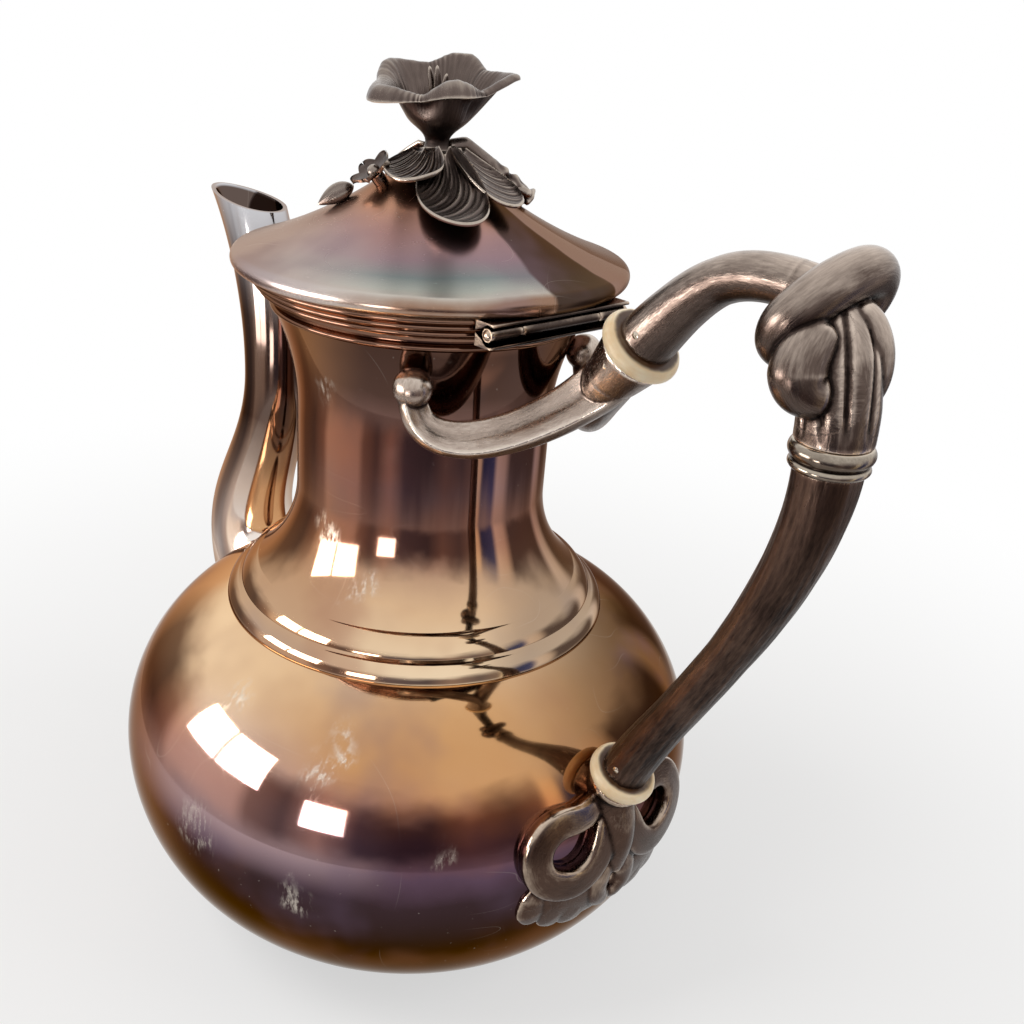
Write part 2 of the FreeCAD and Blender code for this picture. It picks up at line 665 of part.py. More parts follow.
pin_bore = D.pin_radius + D.run_gap
clear_radius = D.knuckle_radius + D.knuckle_gap
minus_half = D.hinge_half * -1
minus_mid = D.hinge_mid * -1
minus_past = minus_half - D.knuckle_gap
past_half = D.hinge_half + D.knuckle_gap
minus_clear = minus_mid - D.knuckle_gap
mid_clear = D.hinge_mid + D.knuckle_gap
low_plate_far = (D.hinge_out, D.hinge_half, low_leaf_top)
low_plate = block("low_leaf_plate", (leaf_inner, minus_half, leaf_low), low_plate_far)
low_clear = barrel("low_leaf_clear", clear_radius, minus_clear, mid_clear)
low_cleared = cut("low_leaf_cleared", low_plate, low_clear)
low_knuckles = [
    barrel("low_knuckle_near", D.knuckle_radius, minus_half, minus_clear),
    barrel("low_knuckle_far", D.knuckle_radius, mid_clear, D.hinge_half),
]
low_solid = fuse("low_leaf_solid", low_cleared, *low_knuckles)
low_bore = barrel("low_leaf_bore", pin_bore, minus_past, past_half)
keep(cut("hinge_body_leaf", low_solid, low_bore), "hinge_body_leaf")

top_leaf_low = D.hinge_height + D.leaf_split
top_leaf_high = seat_top - D.solder_gap
top_outer = D.hinge_out + D.pin_radius
top_plate_far = (top_outer, D.hinge_half, top_leaf_high)
top_plate = block("top_leaf_plate", (leaf_inner, minus_half, top_leaf_low), top_plate_far)
top_clears = [
    barrel("top_clear_near", clear_radius, minus_past, minus_mid),
    barrel("top_clear_far", clear_radius, D.hinge_mid, past_half),
]
top_cleared = cut("top_leaf_cleared", top_plate, *top_clears)
top_knuckle = barrel("top_knuckle", D.knuckle_radius, minus_mid, D.hinge_mid)
top_solid = fuse("top_leaf_solid", top_cleared, top_knuckle)
top_bore = barrel("top_leaf_bore", pin_bore, minus_past, past_half)
keep(cut("hinge_lid_leaf", top_solid, top_bore), "hinge_lid_leaf")
keep(barrel("hinge_pin", D.pin_radius, minus_half, D.hinge_half), "hinge_pin")

# Outer form of the body, grown by the solder film, that seats what is soldered onto it


def body_envelope(gap):
    """A solid of the belly and neck, larger by a gap."""
    def at(r, z):
        return Vector(r + gap, 0, z)

    low = at(V.base_radius, V.foot_height)
    wide = at(V.belly_radius, V.belly_height)
    shoulder = at(V.shoulder_radius, V.shoulder_height)
    root = at(V.flare_foot, V.second_top)
    waist = at(V.neck_radius, V.neck_low)
    waist_top = at(V.neck_radius, V.neck_high)
    mouth = at(V.mouth_radius, V.mouth_height)

    def arc(start, end, centre_height, side):
        flat_start = Vector(start.x, start.z, 0)
        flat_end = Vector(end.x, end.z, 0)
        middle = arc_middle(flat_start, flat_end, "z", centre_height, side)
        return Part.Arc(start, Vector(middle.x, 0, middle.y), end).toShape()

    foot_centre = Vector(0, 0, low.z)
    mouth_centre = Vector(0, 0, mouth.z)
    edges = [
        Part.makeLine(foot_centre, low),
        arc(low, wide, V.belly_height, "right"),
        arc(wide, shoulder, V.belly_height, "right"),
        Part.makeLine(shoulder, root),
        arc(root, waist, V.neck_low, "left"),
        Part.makeLine(waist, waist_top),
        arc(waist_top, mouth, V.neck_high, "left"),
        Part.makeLine(mouth, mouth_centre),
        Part.makeLine(mouth_centre, foot_centre),
    ]
    face = Part.Face(Part.Wire(edges))
    return face.revolve(CENTRE, UP, FULL_TURN)


envelope = body_envelope(V.solder_gap)

# Spout: a hollow swan neck lofted through ovals, cut to the belly and to its sloping lip

spout_rings = 6


def spout_stations():
    """Place, direction, half depth and half width of each oval of the spout, from its root to its lip."""
    root = Vector(V.spout_set - V.belly_radius, 0, V.belly_height)
    waist = Vector(V.spout_stand - V.belly_radius, 0, V.rim_height - V.spout_fall)
    lip = Vector(V.lip_back - V.spout_tip, 0, V.spout_top + V.lip_over)
    root_pull = root + Vector(-V.root_out, 0, V.root_up)
    lip_pull = lip - leaning(-V.lip_lean) * V.lip_pull
    lower = bezier(root, root_pull, waist - UP * V.waist_down, waist, spout_rings)
    upper = bezier(waist, waist + UP * V.waist_up, lip_pull, lip, spout_rings)
    depths = taper(V.root_long, V.waist_long, spout_rings, V.root_taper)
    widths = taper(V.root_wide, V.waist_wide, spout_rings, V.root_taper)
    depths += taper(V.lip_long, V.waist_long, spout_rings, V.lip_taper)[-2::-1]
    widths += blend([V.waist_wide, V.lip_wide], spout_rings)[1:]
    return [(place, way, deep, wide) for (place, way), deep, wide in zip(lower + upper[1:], depths, widths)]


def oval(centre, tangent, half_deep, half_wide):
    """An oval ring square to a tangent in the plane of the spout: a unit circle drawn out two ways."""
    deep = tangent.cross(ACROSS).normalize() * half_deep
    wide = ACROSS * half_wide
    drawn = FreeCAD.Matrix(
        deep.x, wide.x, tangent.x, centre.x,
        deep.y, wide.y, tangent.y, centre.y,
        deep.z, wide.z, tangent.z, centre.z,
    )
    return Part.Wire(Part.Circle().toShape().transformGeometry(drawn))


def spout_loft(inset):
    """The spout's form, inset all round."""
    rings = [oval(place, way, deep - inset, wide - inset) for place, way, deep, wide in spout_stations()]
    return Part.makeLoft(rings, True, False)


lip_cut = Part.makeBox(
    V.belly_radius * 3, V.belly_radius * 2, V.belly_radius, Vector(-V.belly_radius, -V.belly_radius, 0)
)
lip_cut.rotate(CENTRE, ACROSS, V.lip_slope)
lip_cut.translate(Vector(-V.spout_tip, 0, V.spout_top))
spout_shape = spout_loft(0.0).cut(envelope).cut(lip_cut).cut(spout_loft(V.wall))
keep(feature("spout", largest(spout_shape)), "spout")

# Handle: insulating rings on spigots, knotted upper part, collar, grip

upper_axis = leaning(V.upper_lean)
lower_axis = leaning(V.lower_lean)
upper_ring = Vector(V.rim_radius + V.upper_reach, 0, V.rim_height - V.upper_drop)
lower_ring = Vector(V.belly_radius + V.lower_reach, 0, V.belly_height + V.lower_rise)
half_ring = V.ring_thickness / 2
face_offset = half_ring + V.solder_gap
pin_depth = half_ring + V.spigot_length / 2


def insulator(name, radius, spigot, below):
    """A rounded ring with a spigot each side, turned about its own axis above the sheet's plane."""
    low = D.spigot_length - below
    face_low = D.spigot_length
    face_high = D.spigot_length + D.ring_thickness
    top = face_high + D.spigot_length
    shoulder = radius - D.ring_thickness / 2
    return turned(name, [
        (ZERO, low, None),
        (spigot, low, None),
        (spigot, face_low, None),
        (shoulder, face_low, ("r", shoulder, "right")),
        (shoulder, face_high, None),
        (spigot, face_high, None),
        (spigot, top, None),
        (ZERO, top, None),
    ])


def ring_place(axis, centre):
    """The placement that brings an insulator's middle to a ring's centre."""
    return along(axis, centre - axis * (V.spigot_length + half_ring))


def cross_hole(name, axis, centre, offset):
    """A drill along Y through a ring's spigot at an offset along its axis."""
    start = centre + axis * offset - ACROSS * V.ring_radius
    drill_radius = D.cross_pin_radius + D.run_gap
    return bound(
        "Part::Cylinder", name, Placement(start, pin_way), Radius=drill_radius, Height=D.ring_radius * 2
    )


upper_blank = insulator("upper_ring_blank", D.ring_radius, D.spigot_radius, D.spigot_length)
upper_blank.Placement = ring_place(upper_axis, upper_ring)
upper_drill = cross_hole("upper_drill", upper_axis, upper_ring, pin_depth)
socket_drill = cross_hole("socket_drill", upper_axis, upper_ring, -pin_depth)
keep(cut("upper_insulator", upper_blank, upper_drill, socket_drill), "upper_insulator")

lower_blank = insulator("lower_ring_blank", D.low_ring_radius, D.low_spigot_radius, D.short_spigot)
lower_blank.Placement = ring_place(lower_axis, lower_ring)
lower_drill = cross_hole("lower_drill", lower_axis, lower_ring, pin_depth)
keep(cut("lower_insulator", lower_blank, lower_drill), "lower_insulator")


def spigot_bore(axis, centre, radius, length, way):
    """The hole for a spigot, on one side of a ring, with air past the spigot's end."""
    return Part.makeCylinder(radius + V.solder_gap, half_ring + length + V.knuckle_gap, centre, axis * way)


tube_rings = 7
turn_rings = 6
heart_ring = 2
strand_rings = 7
tube_start = upper_ring + upper_axis * face_offset
bend = Vector(V.handle_out - V.bend_back, 0, V.rim_height + V.bend_rise)
bundle_top = Vector(V.handle_out, 0, V.collar_top + V.solder_gap)
tube_leave = tube_start + upper_axis * V.tube_pull
tube_rows = bezier(tube_start, tube_leave, bend - OUT * V.bend_pull, bend, tube_rings)
turn_rows = bezier(bend, bend + OUT * V.turn_pull, bundle_top + UP * V.bundle_pull, bundle_top, turn_rings)
tube_radii = taper(V.tube_end, V.tube_radius, tube_rings, V.tube_taper)
turn_radii = taper(V.tube_radius, V.bundle_radius, turn_rings, V.tube_taper)
main_strand = tube(tube_rows + turn_rows[1:], tube_radii + turn_radii[1:])
heart, heart_way = turn_rows[heart_ring]
wrap = Part.makeTorus(V.wrap_radius, V.strand_radius, heart + UP * V.wrap_lift, heart_way)
near_swing = Vector(-V.lobe_back, -V.lobe_out, 0)
near_end = heart + Vector(V.lobe_back, 0, -V.lobe_drop)
near_return = near_end + near_swing - OUT * V.lobe_back
near_rows = bezier(heart, heart + near_swing, near_return, near_end, strand_rings)
near_strand = tube(near_rows, [V.lobe_radius] * strand_rings)
far_swing = Vector(V.fold_swing, V.fold_out, 0)
far_end = heart + Vector(V.lobe_back, 0, -V.fold_drop)
far_rows = bezier(heart, heart + far_swing, far_end + far_swing, far_end, strand_rings)
far_strand = tube(far_rows, [V.fold_radius] * strand_rings)
tenon_top = V.collar_top + V.tenon_depth
tenon_hole = Part.makeCylinder(
    V.tenon_radius + V.solder_gap, V.tenon_depth + V.collar_height, bundle_top - UP * V.collar_height
)
knot_shape = main_strand.fuse([wrap, near_strand, far_strand]).cut(tenon_hole)
knot_shape = knot_shape.cut(spigot_bore(upper_axis, upper_ring, V.spigot_radius, V.spigot_length, 1.0))
knot_shape = knot_shape.cut(upper_drill.Shape)
keep(feature("handle_knot", largest(knot_shape)), "handle_knot")

collar_low = D.collar_top - D.collar_height
band_low = collar_low + D.collar_lip
tenon_bore = D.tenon_radius + D.solder_gap
band_edge = D.collar_radius - D.collar_step
lip_edge = band_edge - D.solder_gap
collar = turned("handle_collar", [
    (tenon_bore, collar_low, None),
    (lip_edge, collar_low, ("r", band_edge - D.collar_step, "right")),
    (lip_edge, band_low, None),
    (band_edge, band_low, ("r", band_edge - D.collar_step, "right")),
    (band_edge, D.collar_top, None),
    (tenon_bore, D.collar_top, None),
])
collar.setExpression("Placement.Base.x", D.handle_out.text)
doc.recompute()
keep(collar, "handle_collar")

grip_rings = 9
grip_start = Vector(V.handle_out, 0, V.collar_top - V.collar_height - V.solder_gap)
grip_stop = lower_ring + lower_axis * face_offset
grip_rows = bezier(
    grip_start, grip_start - UP * V.grip_pull, grip_stop + lower_axis * V.grip_rise, grip_stop, grip_rings
)
grip_middle = (V.grip_top + V.grip_waist) / 2
grip_radii = blend([V.grip_top, grip_middle, V.grip_waist, V.grip_waist, V.grip_end], grip_rings)
tenon_low = grip_start - UP * V.tenon_depth
tenon = Part.makeCylinder(V.tenon_radius, tenon_top - tenon_low.z, tenon_low)
grip_shape = tube(grip_rows, grip_radii).fuse(tenon)
grip_shape = grip_shape.cut(spigot_bore(lower_axis, lower_ring, V.low_spigot_radius, V.spigot_length, 1.0))
grip_shape = grip_shape.cut(lower_drill.Shape)
keep(feature("handle_grip", largest(grip_shape)), "handle_grip")

# Upper bracket: a socket that forks into two arms with balls on the neck


def neck_at(height, gap):
    """Outer radius, at a height, of the neck's mouth flare grown by a gap square to its surface."""
    bend_radius = (V.mouth_spread**2 + V.mouth_flare**2) / (2 * V.mouth_spread)
    return V.neck_radius + bend_radius - math.sqrt((bend_radius - gap) ** 2 - (height - V.neck_high) ** 2)


arm_rings = 9
socket_rings = 3
socket_start = upper_ring - upper_axis * face_offset
fork = socket_start - upper_axis * V.socket_length
socket_rows = [(place, upper_axis) for place in blend([socket_start, fork], socket_rings)]
socket = tube(socket_rows, [V.socket_top, V.socket_waist, V.socket_end])
ball_out = neck_at(V.ball_height, V.ball_radius + V.ball_gap)
ball_turn = math.radians(V.ball_angle)
ball_way = Vector(math.cos(ball_turn), -math.sin(ball_turn), 0)
ball_centre = ball_way * ball_out + UP * V.ball_height
arm_start = fork + upper_axis * V.arm_seat
arm_fork = fork - upper_axis * V.arm_pull - ACROSS * V.arm_spread
arm_rise = ball_centre + ball_way * V.arm_swing - UP * V.arm_dip
arm = tube(
    bezier(arm_start, arm_fork, arm_rise, ball_centre, arm_rings), blend([V.arm_top, V.arm_end], arm_rings)
)
ball = Part.makeSphere(V.ball_radius, ball_centre)
near_arm = arm.fuse(ball)
bracket = socket.fuse(near_arm).fuse(mirrored(near_arm))
bracket = bracket.cut(spigot_bore(upper_axis, upper_ring, V.spigot_radius, V.spigot_length, -1.0))
bracket = bracket.cut(socket_drill.Shape)
keep(feature("upper_bracket", largest(bracket)), "upper_bracket")

# Lower bracket: a socket whose stem runs onto a pierced scroll plate that lies on the belly


def disc(across, height, radius):
    """A round bar along X through the scroll plate."""
    return Part.makeCylinder(radius, V.belly_radius, Vector(V.belly_radius / 2, across, height), OUT)


web_corner = Vector(V.belly_radius / 2, -V.web_width / 2, V.scroll_height - V.web_drop)
plate = Part.makeBox(V.belly_radius, V.web_width, V.web_height, web_corner)
lobes = []
eyes = [disc(0.0, V.scroll_height - V.slot_drop, V.slot_radius)]
for side in (-1.0, 1.0):
    lobes.append(disc(side * V.scroll_across, V.scroll_height, V.scroll_radius))
    lobes.append(disc(side * (V.scroll_across + V.tail_out), V.scroll_height - V.tail_drop, V.tail_radius))
    lobes.append(disc(side * (V.scroll_across - V.heel_in), V.scroll_height - V.heel_drop, V.heel_radius))
    eyes.append(disc(side * (V.scroll_across - V.eye_shift), V.scroll_height, V.scroll_eye))
plate = plate.fuse(lobes).cut(eyes)
plate = plate.common(body_envelope(V.scroll_thickness)).cut(envelope)
stem_rings = 5
stem_start = lower_ring - lower_axis * face_offset
stem_stop = Vector(V.belly_radius + V.stem_proud, 0, V.scroll_height)
stem_rows = bezier(
    stem_start, stem_start - lower_axis * V.stem_pull, stem_stop + UP * V.stem_pull, stem_stop, stem_rings
)
stem = tube(stem_rows, blend([V.stem_top, V.stem_end], stem_rings))
low_bracket = plate.fuse(stem.cut(envelope))
low_bracket = low_bracket.cut(spigot_bore(lower_axis, lower_ring, V.low_spigot_radius, V.short_spigot, -1.0))
keep(feature("lower_bracket", largest(low_bracket)), "lower_bracket")

# Cross pins, one through each spigot that the handle and the upper bracket hold


def cross_pin(axis, centre, offset, metal):
    """A pin along Y with rounded ends that stands a little out of the metal around it."""
    half_length = metal + V.pin_proud
    start = centre + axis * offset - ACROSS * half_length
    pin = Part.makeCylinder(V.cross_pin_radius, half_length * 2, start, ACROSS)
    rims = [edge for edge in pin.Edges if edge.Closed]
    return pin.makeFillet(V.cross_pin_radius / 2, rims)


upper_pins = [
    cross_pin(upper_axis, upper_ring, pin_depth, V.tube_end),
    cross_pin(upper_axis, upper_ring, -pin_depth, (V.socket_top + V.socket_waist) / 2),
]
keep(feature("upper_ring_pins", Part.makeCompound(upper_pins)), "upper_ring_pins")
keep(feature("lower_ring_pin", cross_pin(lower_axis, lower_ring, pin_depth, V.grip_end)), "lower_ring_pin")

# Finial: screw and nut, mound, trumpet flower with a wavy lip, pistil, leaves, blossom, bud and twig

crown = dome_top + D.solder_gap
hub_radius = D.lid_crown - D.wall
hub_top = crown + D.hub_height
keep(turned("finial_hub", [
    (stud_hole, crown, None),
    (hub_radius, crown, None),
    (D.stem_radius, hub_top, None),
    (stud_hole, hub_top, None),
]), "finial_hub")
nut_top = dome_under - D.solder_gap
nut_low = nut_top - D.nut_height
keep(turned("finial_nut", [
    (stud_hole, nut_low, None),
    (hub_radius, nut_low, None),
    (hub_radius, nut_top, None),
    (stud_hole, nut_top, None),
]), "finial_nut")
stud_low = nut_low - D.stud_proud
stud_top = hub_top + D.stud_hold
keep(turned("finial_stud", [
    (ZERO, stud_low, None),
    (D.stud_radius, stud_low, None),
    (D.stud_radius, stud_top, None),
    (ZERO, stud_top, None),
]), "finial_stud")

lobe_count = int(V.petal_count)
points_per_lobe = 6


def wavy_ring(radius, height, ruffle, lift):
    """A closed ring whose radius and height swing once for each lobe of the flower."""
    count = lobe_count * points_per_lobe
    points = []
    for k in range(count):
        turn = 2 * math.pi * k / count
        swing = math.cos(lobe_count * turn)
        wide = radius + ruffle * swing
        points.append(Vector(wide * math.cos(turn), wide * math.sin(turn), height + lift * swing))
    curve = Part.BSplineCurve()
    curve.interpolate(Points=points, PeriodicFlag=True)
    return Part.Wire(curve.toShape())


def trumpet_skin(rows):
    """The open skin lofted through wavy rings."""
    return Part.makeLoft([wavy_ring(*row) for row in rows], False, False)


flower_low = hub_top.value + V.solder_gap
throat_height = flower_low + V.stem_length
lip_radius = V.flower_radius - V.lip_wave
lip_height = flower_low + V.flower_rise - V.lip_lift
bell_height = lip_height - V.bell_fall
outer_rows = [
    (V.stem_radius, flower_low, 0.0, 0.0),
    (V.stem_waist, (flower_low + throat_height) / 2, 0.0, 0.0),
    (V.throat_radius, throat_height, 0.0, 0.0),
    (V.bell_radius, bell_height, V.bell_wave, V.bell_lift),
    (lip_radius, lip_height - V.petal, V.lip_wave, V.lip_lift),
]
inner_rows = [
    (V.stem_radius / 2, throat_height, 0.0, 0.0),
    (V.throat_radius - V.petal, throat_height + V.petal, 0.0, 0.0),
    (V.bell_radius - V.petal / 2, bell_height + V.petal, V.bell_wave, V.bell_lift),
    (lip_radius, lip_height, V.lip_wave, V.lip_lift),
]
outer_skin = trumpet_skin(outer_rows)
inner_skin = trumpet_skin(inner_rows)
lip_skin = Part.makeRuledSurface(wavy_ring(*outer_rows[-1]), wavy_ring(*inner_rows[-1]))
foot_face = Part.Face(wavy_ring(*outer_rows[0]))
throat_face = Part.Face(wavy_ring(*inner_rows[0]))
sewn = Part.makeShell(outer_skin.Faces + inner_skin.Faces + lip_skin.Faces + [foot_face, throat_face])
sewn.sewShape()
flower_shape = Part.makeSolid(sewn)
if flower_shape.Volume < 0:
    flower_shape.reverse()
stud_bore = Part.makeCylinder(
    stud_hole.value, V.hub_height + V.stud_hold + V.knuckle_gap, Vector(0, 0, crown.value)
)
keep(feature("finial_flower", largest(flower_shape.cut(stud_bore))), "finial_flower")

throat = throat_height + V.solder_gap
pistil_radii = [V.pistil_stem, V.pistil_stem, V.pistil_radius, V.pistil_radius / 2]
pistil_heights = blend([throat, throat + V.pistil_height], len(pistil_radii))
pistil_rows = [(UP * height, UP) for height in pistil_heights]
keep(feature("finial_pistil", tube(pistil_rows, pistil_radii)), "finial_pistil")


def lid_at(radius):
    """Height of the lid's outer slope at a radius."""
    if radius <= V.lid_crown:
        return dome_top.value
    start = Vector(wire_radius.value, dome_low.value, 0)
    end = Vector(V.lid_crown, dome_top.value, 0)
    middle = arc_middle(start, end, "z", slope_height.value, "left")
    slope = Part.Arc(start, middle, end).toShape().Curve
    return slope.Center.y - math.sqrt(slope.Radius**2 - (radius - slope.Center.x) ** 2)


leaf_start = hub_radius.value + V.leaf_play
leaf_sections = 7


def cast_leaf(leaf):
    """A cupped leaf lofted through crescents across its length, laid over the lid's slope.

    Its width follows half a wave with blunted ends, raised to a power that rounds the outline.
    """
    sections = []
    for k in range(leaf_sections):
        share = k / (leaf_sections - 1)
        radius = leaf_start + (leaf.reach - leaf_start) * share
        wave = math.sin(math.pi * (V.leaf_blunt + (1 - 2 * V.leaf_blunt) * share))
        half = leaf.width * wave**V.leaf_round / 2
        low = lid_at(radius) + V.leaf_lift
        top = low + V.cast_leaf
        lid_fall = lid_at(radius) - lid_at(math.hypot(radius, half))
        edge_top = top - lid_fall * V.leaf_drape - half * V.leaf_cup
        edge_low = edge_top - V.cast_leaf / 2
        near_top = Vector(radius, -half, edge_top)
        far_top = Vector(radius, half, edge_top)
        far_low = Vector(radius, half, edge_low)
        near_low = Vector(radius, -half, edge_low)
        sections.append(Part.Wire([
            Part.Arc(near_top, Vector(radius, 0, top), far_top).toShape(),
            Part.makeLine(far_top, far_low),
            Part.Arc(far_low, Vector(radius, 0, low), near_low).toShape(),
            Part.makeLine(near_low, near_top),
        ]))
    shape = Part.makeLoft(sections, True, False)
    shape.rotate(CENTRE, UP, leaf.azimuth)
    return shape


for leaf in LEAVES:
    keep(feature(f"finial_leaf_{leaf.name}", cast_leaf(leaf)), f"finial_leaf_{leaf.name}")


def on_lid(azimuth, radius, lift):
    """A point over the lid's slope."""
    angle = math.radians(azimuth)
    return Vector(radius * math.cos(angle), radius * math.sin(angle), lid_at(radius) + lift)


blossom_centre = on_lid(V.blossom_turn, V.blossom_out, V.blossom_lift)
blossom_axis = Rotation(UP, V.blossom_turn).multVec(leaning(V.blossom_lean))
petals = []
for k in range(lobe_count):
    petal = Part.makeCylinder(V.blossom_petal, V.petal, Vector(V.blossom_spread, 0, -V.petal / 2))
    petal.rotate(CENTRE, ACROSS, -V.blossom_dish)
    petal.rotate(CENTRE, UP, FULL_TURN / lobe_count * k)
    petals.append(petal)
blossom = Part.makeSphere(V.blossom_eye, UP * (V.petal / 2)).fuse(petals)
keep(feature("finial_blossom", blossom, along(blossom_axis, blossom_centre)), "finial_blossom")

bud_place = on_lid(V.bud_turn, V.bud_out, V.bud_lift)
bud_axis = (on_lid(V.bud_turn, V.bud_out + V.bud_half, V.bud_lift) - bud_place).normalize()
bud_radii = [V.bud_radius / 2, V.bud_radius, V.bud_radius, V.bud_radius / 3]
bud_rows = [(UP * step, UP) for step in blend([-V.bud_half, V.bud_half], len(bud_radii))]
keep(feature("finial_bud", tube(bud_rows, bud_radii), along(bud_axis, bud_place)), "finial_bud")

twig_radii = [V.twig_radius, V.twig_radius, V.twig_radius, V.twig_radius / 2]
twig_outs = blend([leaf_start + V.leaf_play, V.twig_reach], len(twig_radii))
twig_rows = through([on_lid(V.twig_turn, out, V.twig_lift) for out in twig_outs])
keep(feature("finial_twig", tube(twig_rows, twig_radii)), "finial_twig")

# Every piece is sound before anything is written

doc.recompute()
for obj in doc.Objects:
    if any(word in obj.State for word in ("Invalid", "Error")):
        raise RuntimeError(f"{obj.Name} failed: {obj.State}")
for label, obj in NODES.items():
    if obj.Shape.isNull() or not obj.Shape.isValid():
        raise RuntimeError(f"{label} has no sound shape")
    if not obj.Shape.Solids:
        raise RuntimeError(f"{label} holds no solid")
os.makedirs("parts", exist_ok=True)
for label, obj in NODES.items():
    obj.Shape.exportStep(f"parts/{label}.step")
    print(label, len(obj.Shape.Solids), round(obj.Shape.Volume, 1))
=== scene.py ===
import logging
import math
from dataclasses import dataclass
from enum import Enum
from typing import Callable, Optional, Sequence

import bpy
import numpy as np
from mathutils import Matrix


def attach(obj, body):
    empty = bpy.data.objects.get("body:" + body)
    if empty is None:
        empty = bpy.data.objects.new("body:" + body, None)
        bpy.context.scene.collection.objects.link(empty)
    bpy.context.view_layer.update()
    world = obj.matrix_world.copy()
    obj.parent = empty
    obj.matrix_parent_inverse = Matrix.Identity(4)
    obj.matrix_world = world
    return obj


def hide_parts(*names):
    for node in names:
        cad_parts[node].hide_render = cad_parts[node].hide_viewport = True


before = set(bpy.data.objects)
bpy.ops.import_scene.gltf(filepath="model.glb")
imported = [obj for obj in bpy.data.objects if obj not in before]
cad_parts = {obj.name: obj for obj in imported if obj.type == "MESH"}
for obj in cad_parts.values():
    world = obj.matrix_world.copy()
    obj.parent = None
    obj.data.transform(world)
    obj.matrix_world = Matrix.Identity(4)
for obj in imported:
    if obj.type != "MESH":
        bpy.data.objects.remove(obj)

log = logging.getLogger("coffee_pot")
logging.basicConfig(level=logging.INFO, format="%(name)s: %(message)s")

Array = np.ndarray
Piece = bpy.types.Object
Material = bpy.types.Material
Socket = bpy.types.NodeSocket
Screen = tuple[int, int, int]
Point = tuple[float, float, float]

# Metres in a millimetre, columns round a turned piece, and millimetres of solder between pieces
MM = 0.001
AROUND = 256
FILM = 0.05
# Millimetres by which strands lie apart in the grain, and points that are matched to strands at a time
STRAND_STEP = 50.0
BATCH = 8000
# How worn a flat side is, how much painted light a top gains and painted shade an underside takes, and the tint of
# plate that is seen edge-on
SIDE_WEAR = 0.42
TOP_PAINTED_LIGHT = 0.2
EDGE_TINT = (0.62, 0.5, 0.42, 1.0)


class BodyName(Enum):
    """The two bodies of the frame."""

    POT = "pot"
    LID = "lid"


class Slot(Enum):
    """The record's material slots."""

    PLATE = "silver_plate"
    TRIM = "silver_trim"
    CAST = "cast_silver"
    DARK = "dark_silver"
    IVORY = "ivory_ring"


def linear(red: int, green: int, blue: int) -> tuple[float, float, float, float]:
    """Turns a screen colour into the linear colour a shader takes.

    Args:
        red, green, blue: screen values from 0 to 255.

    Returns:
        The linear colour with full alpha.
    """
    def one(value: float) -> float:
        """The linear value of one screen value."""
        share = value / 255.0
        return share / 12.92 if share <= 0.04045 else ((share + 0.055) / 1.055) ** 2.4

    return (one(red), one(green), one(blue), 1.0)


# Curves and outlines, in millimetres


def shares(count: int) -> Array:
    """Evenly spaced shares from nothing to one."""
    return np.linspace(0.0, 1.0, count)


def turns(count: int) -> Array:
    """Evenly spaced angles of one full turn, without its end."""
    return np.linspace(0.0, 2 * np.pi, count, endpoint=False)


def line(start: Sequence[float], end: Sequence[float], count: int) -> Array:
    """Evenly spaced points on a straight line, without its end."""
    share = np.linspace(0.0, 1.0, count, endpoint=False)[:, None]
    return np.asarray(start, float) * (1 - share) + np.asarray(end, float) * share


def upright_arc(wide: Sequence[float], end: Sequence[float], count: int) -> Array:
    """Points on the arc that stands upright at its first point and runs through its second.

    The centre lies level with the first point, so its radius follows from the chord alone.

    Args:
        wide: radius and height where the arc stands upright.
        end: radius and height of the other end.
        count: number of points, the end left out.

    Returns:
        An array of radius and height.
    """
    run, rise = end[0] - wide[0], end[1] - wide[1]
    bend = (run * run + rise * rise) / (2 * run)
    full = math.atan2(rise, bend - run) if bend > 0 else math.atan2(rise, run - bend)
    angle = np.linspace(0.0, full, count, endpoint=False)
    return np.stack([wide[0] + bend - bend * np.cos(angle), wide[1] + abs(bend) * np.sin(angle)], axis=1)


def bead(start: Sequence[float], end: Sequence[float], swell: float, count: int) -> Array:
    """A round bead between two points: the chord plus a half sine of the swell, to the right of travel.

    Args:
        start, end: radius and height of both ends.
        swell: height over the chord.
        count: number of points, the end left out.

    Returns:
        An array of radius and height.
    """
    share = np.linspace(0.0, 1.0, count, endpoint=False)
    first, last = np.asarray(start, float), np.asarray(end, float)
    chord = last - first
    right = np.array([chord[1], -chord[0]]) / np.hypot(*chord)
    return first + share[:, None] * chord + np.sin(np.pi * share)[:, None] ** 0.7 * swell * right


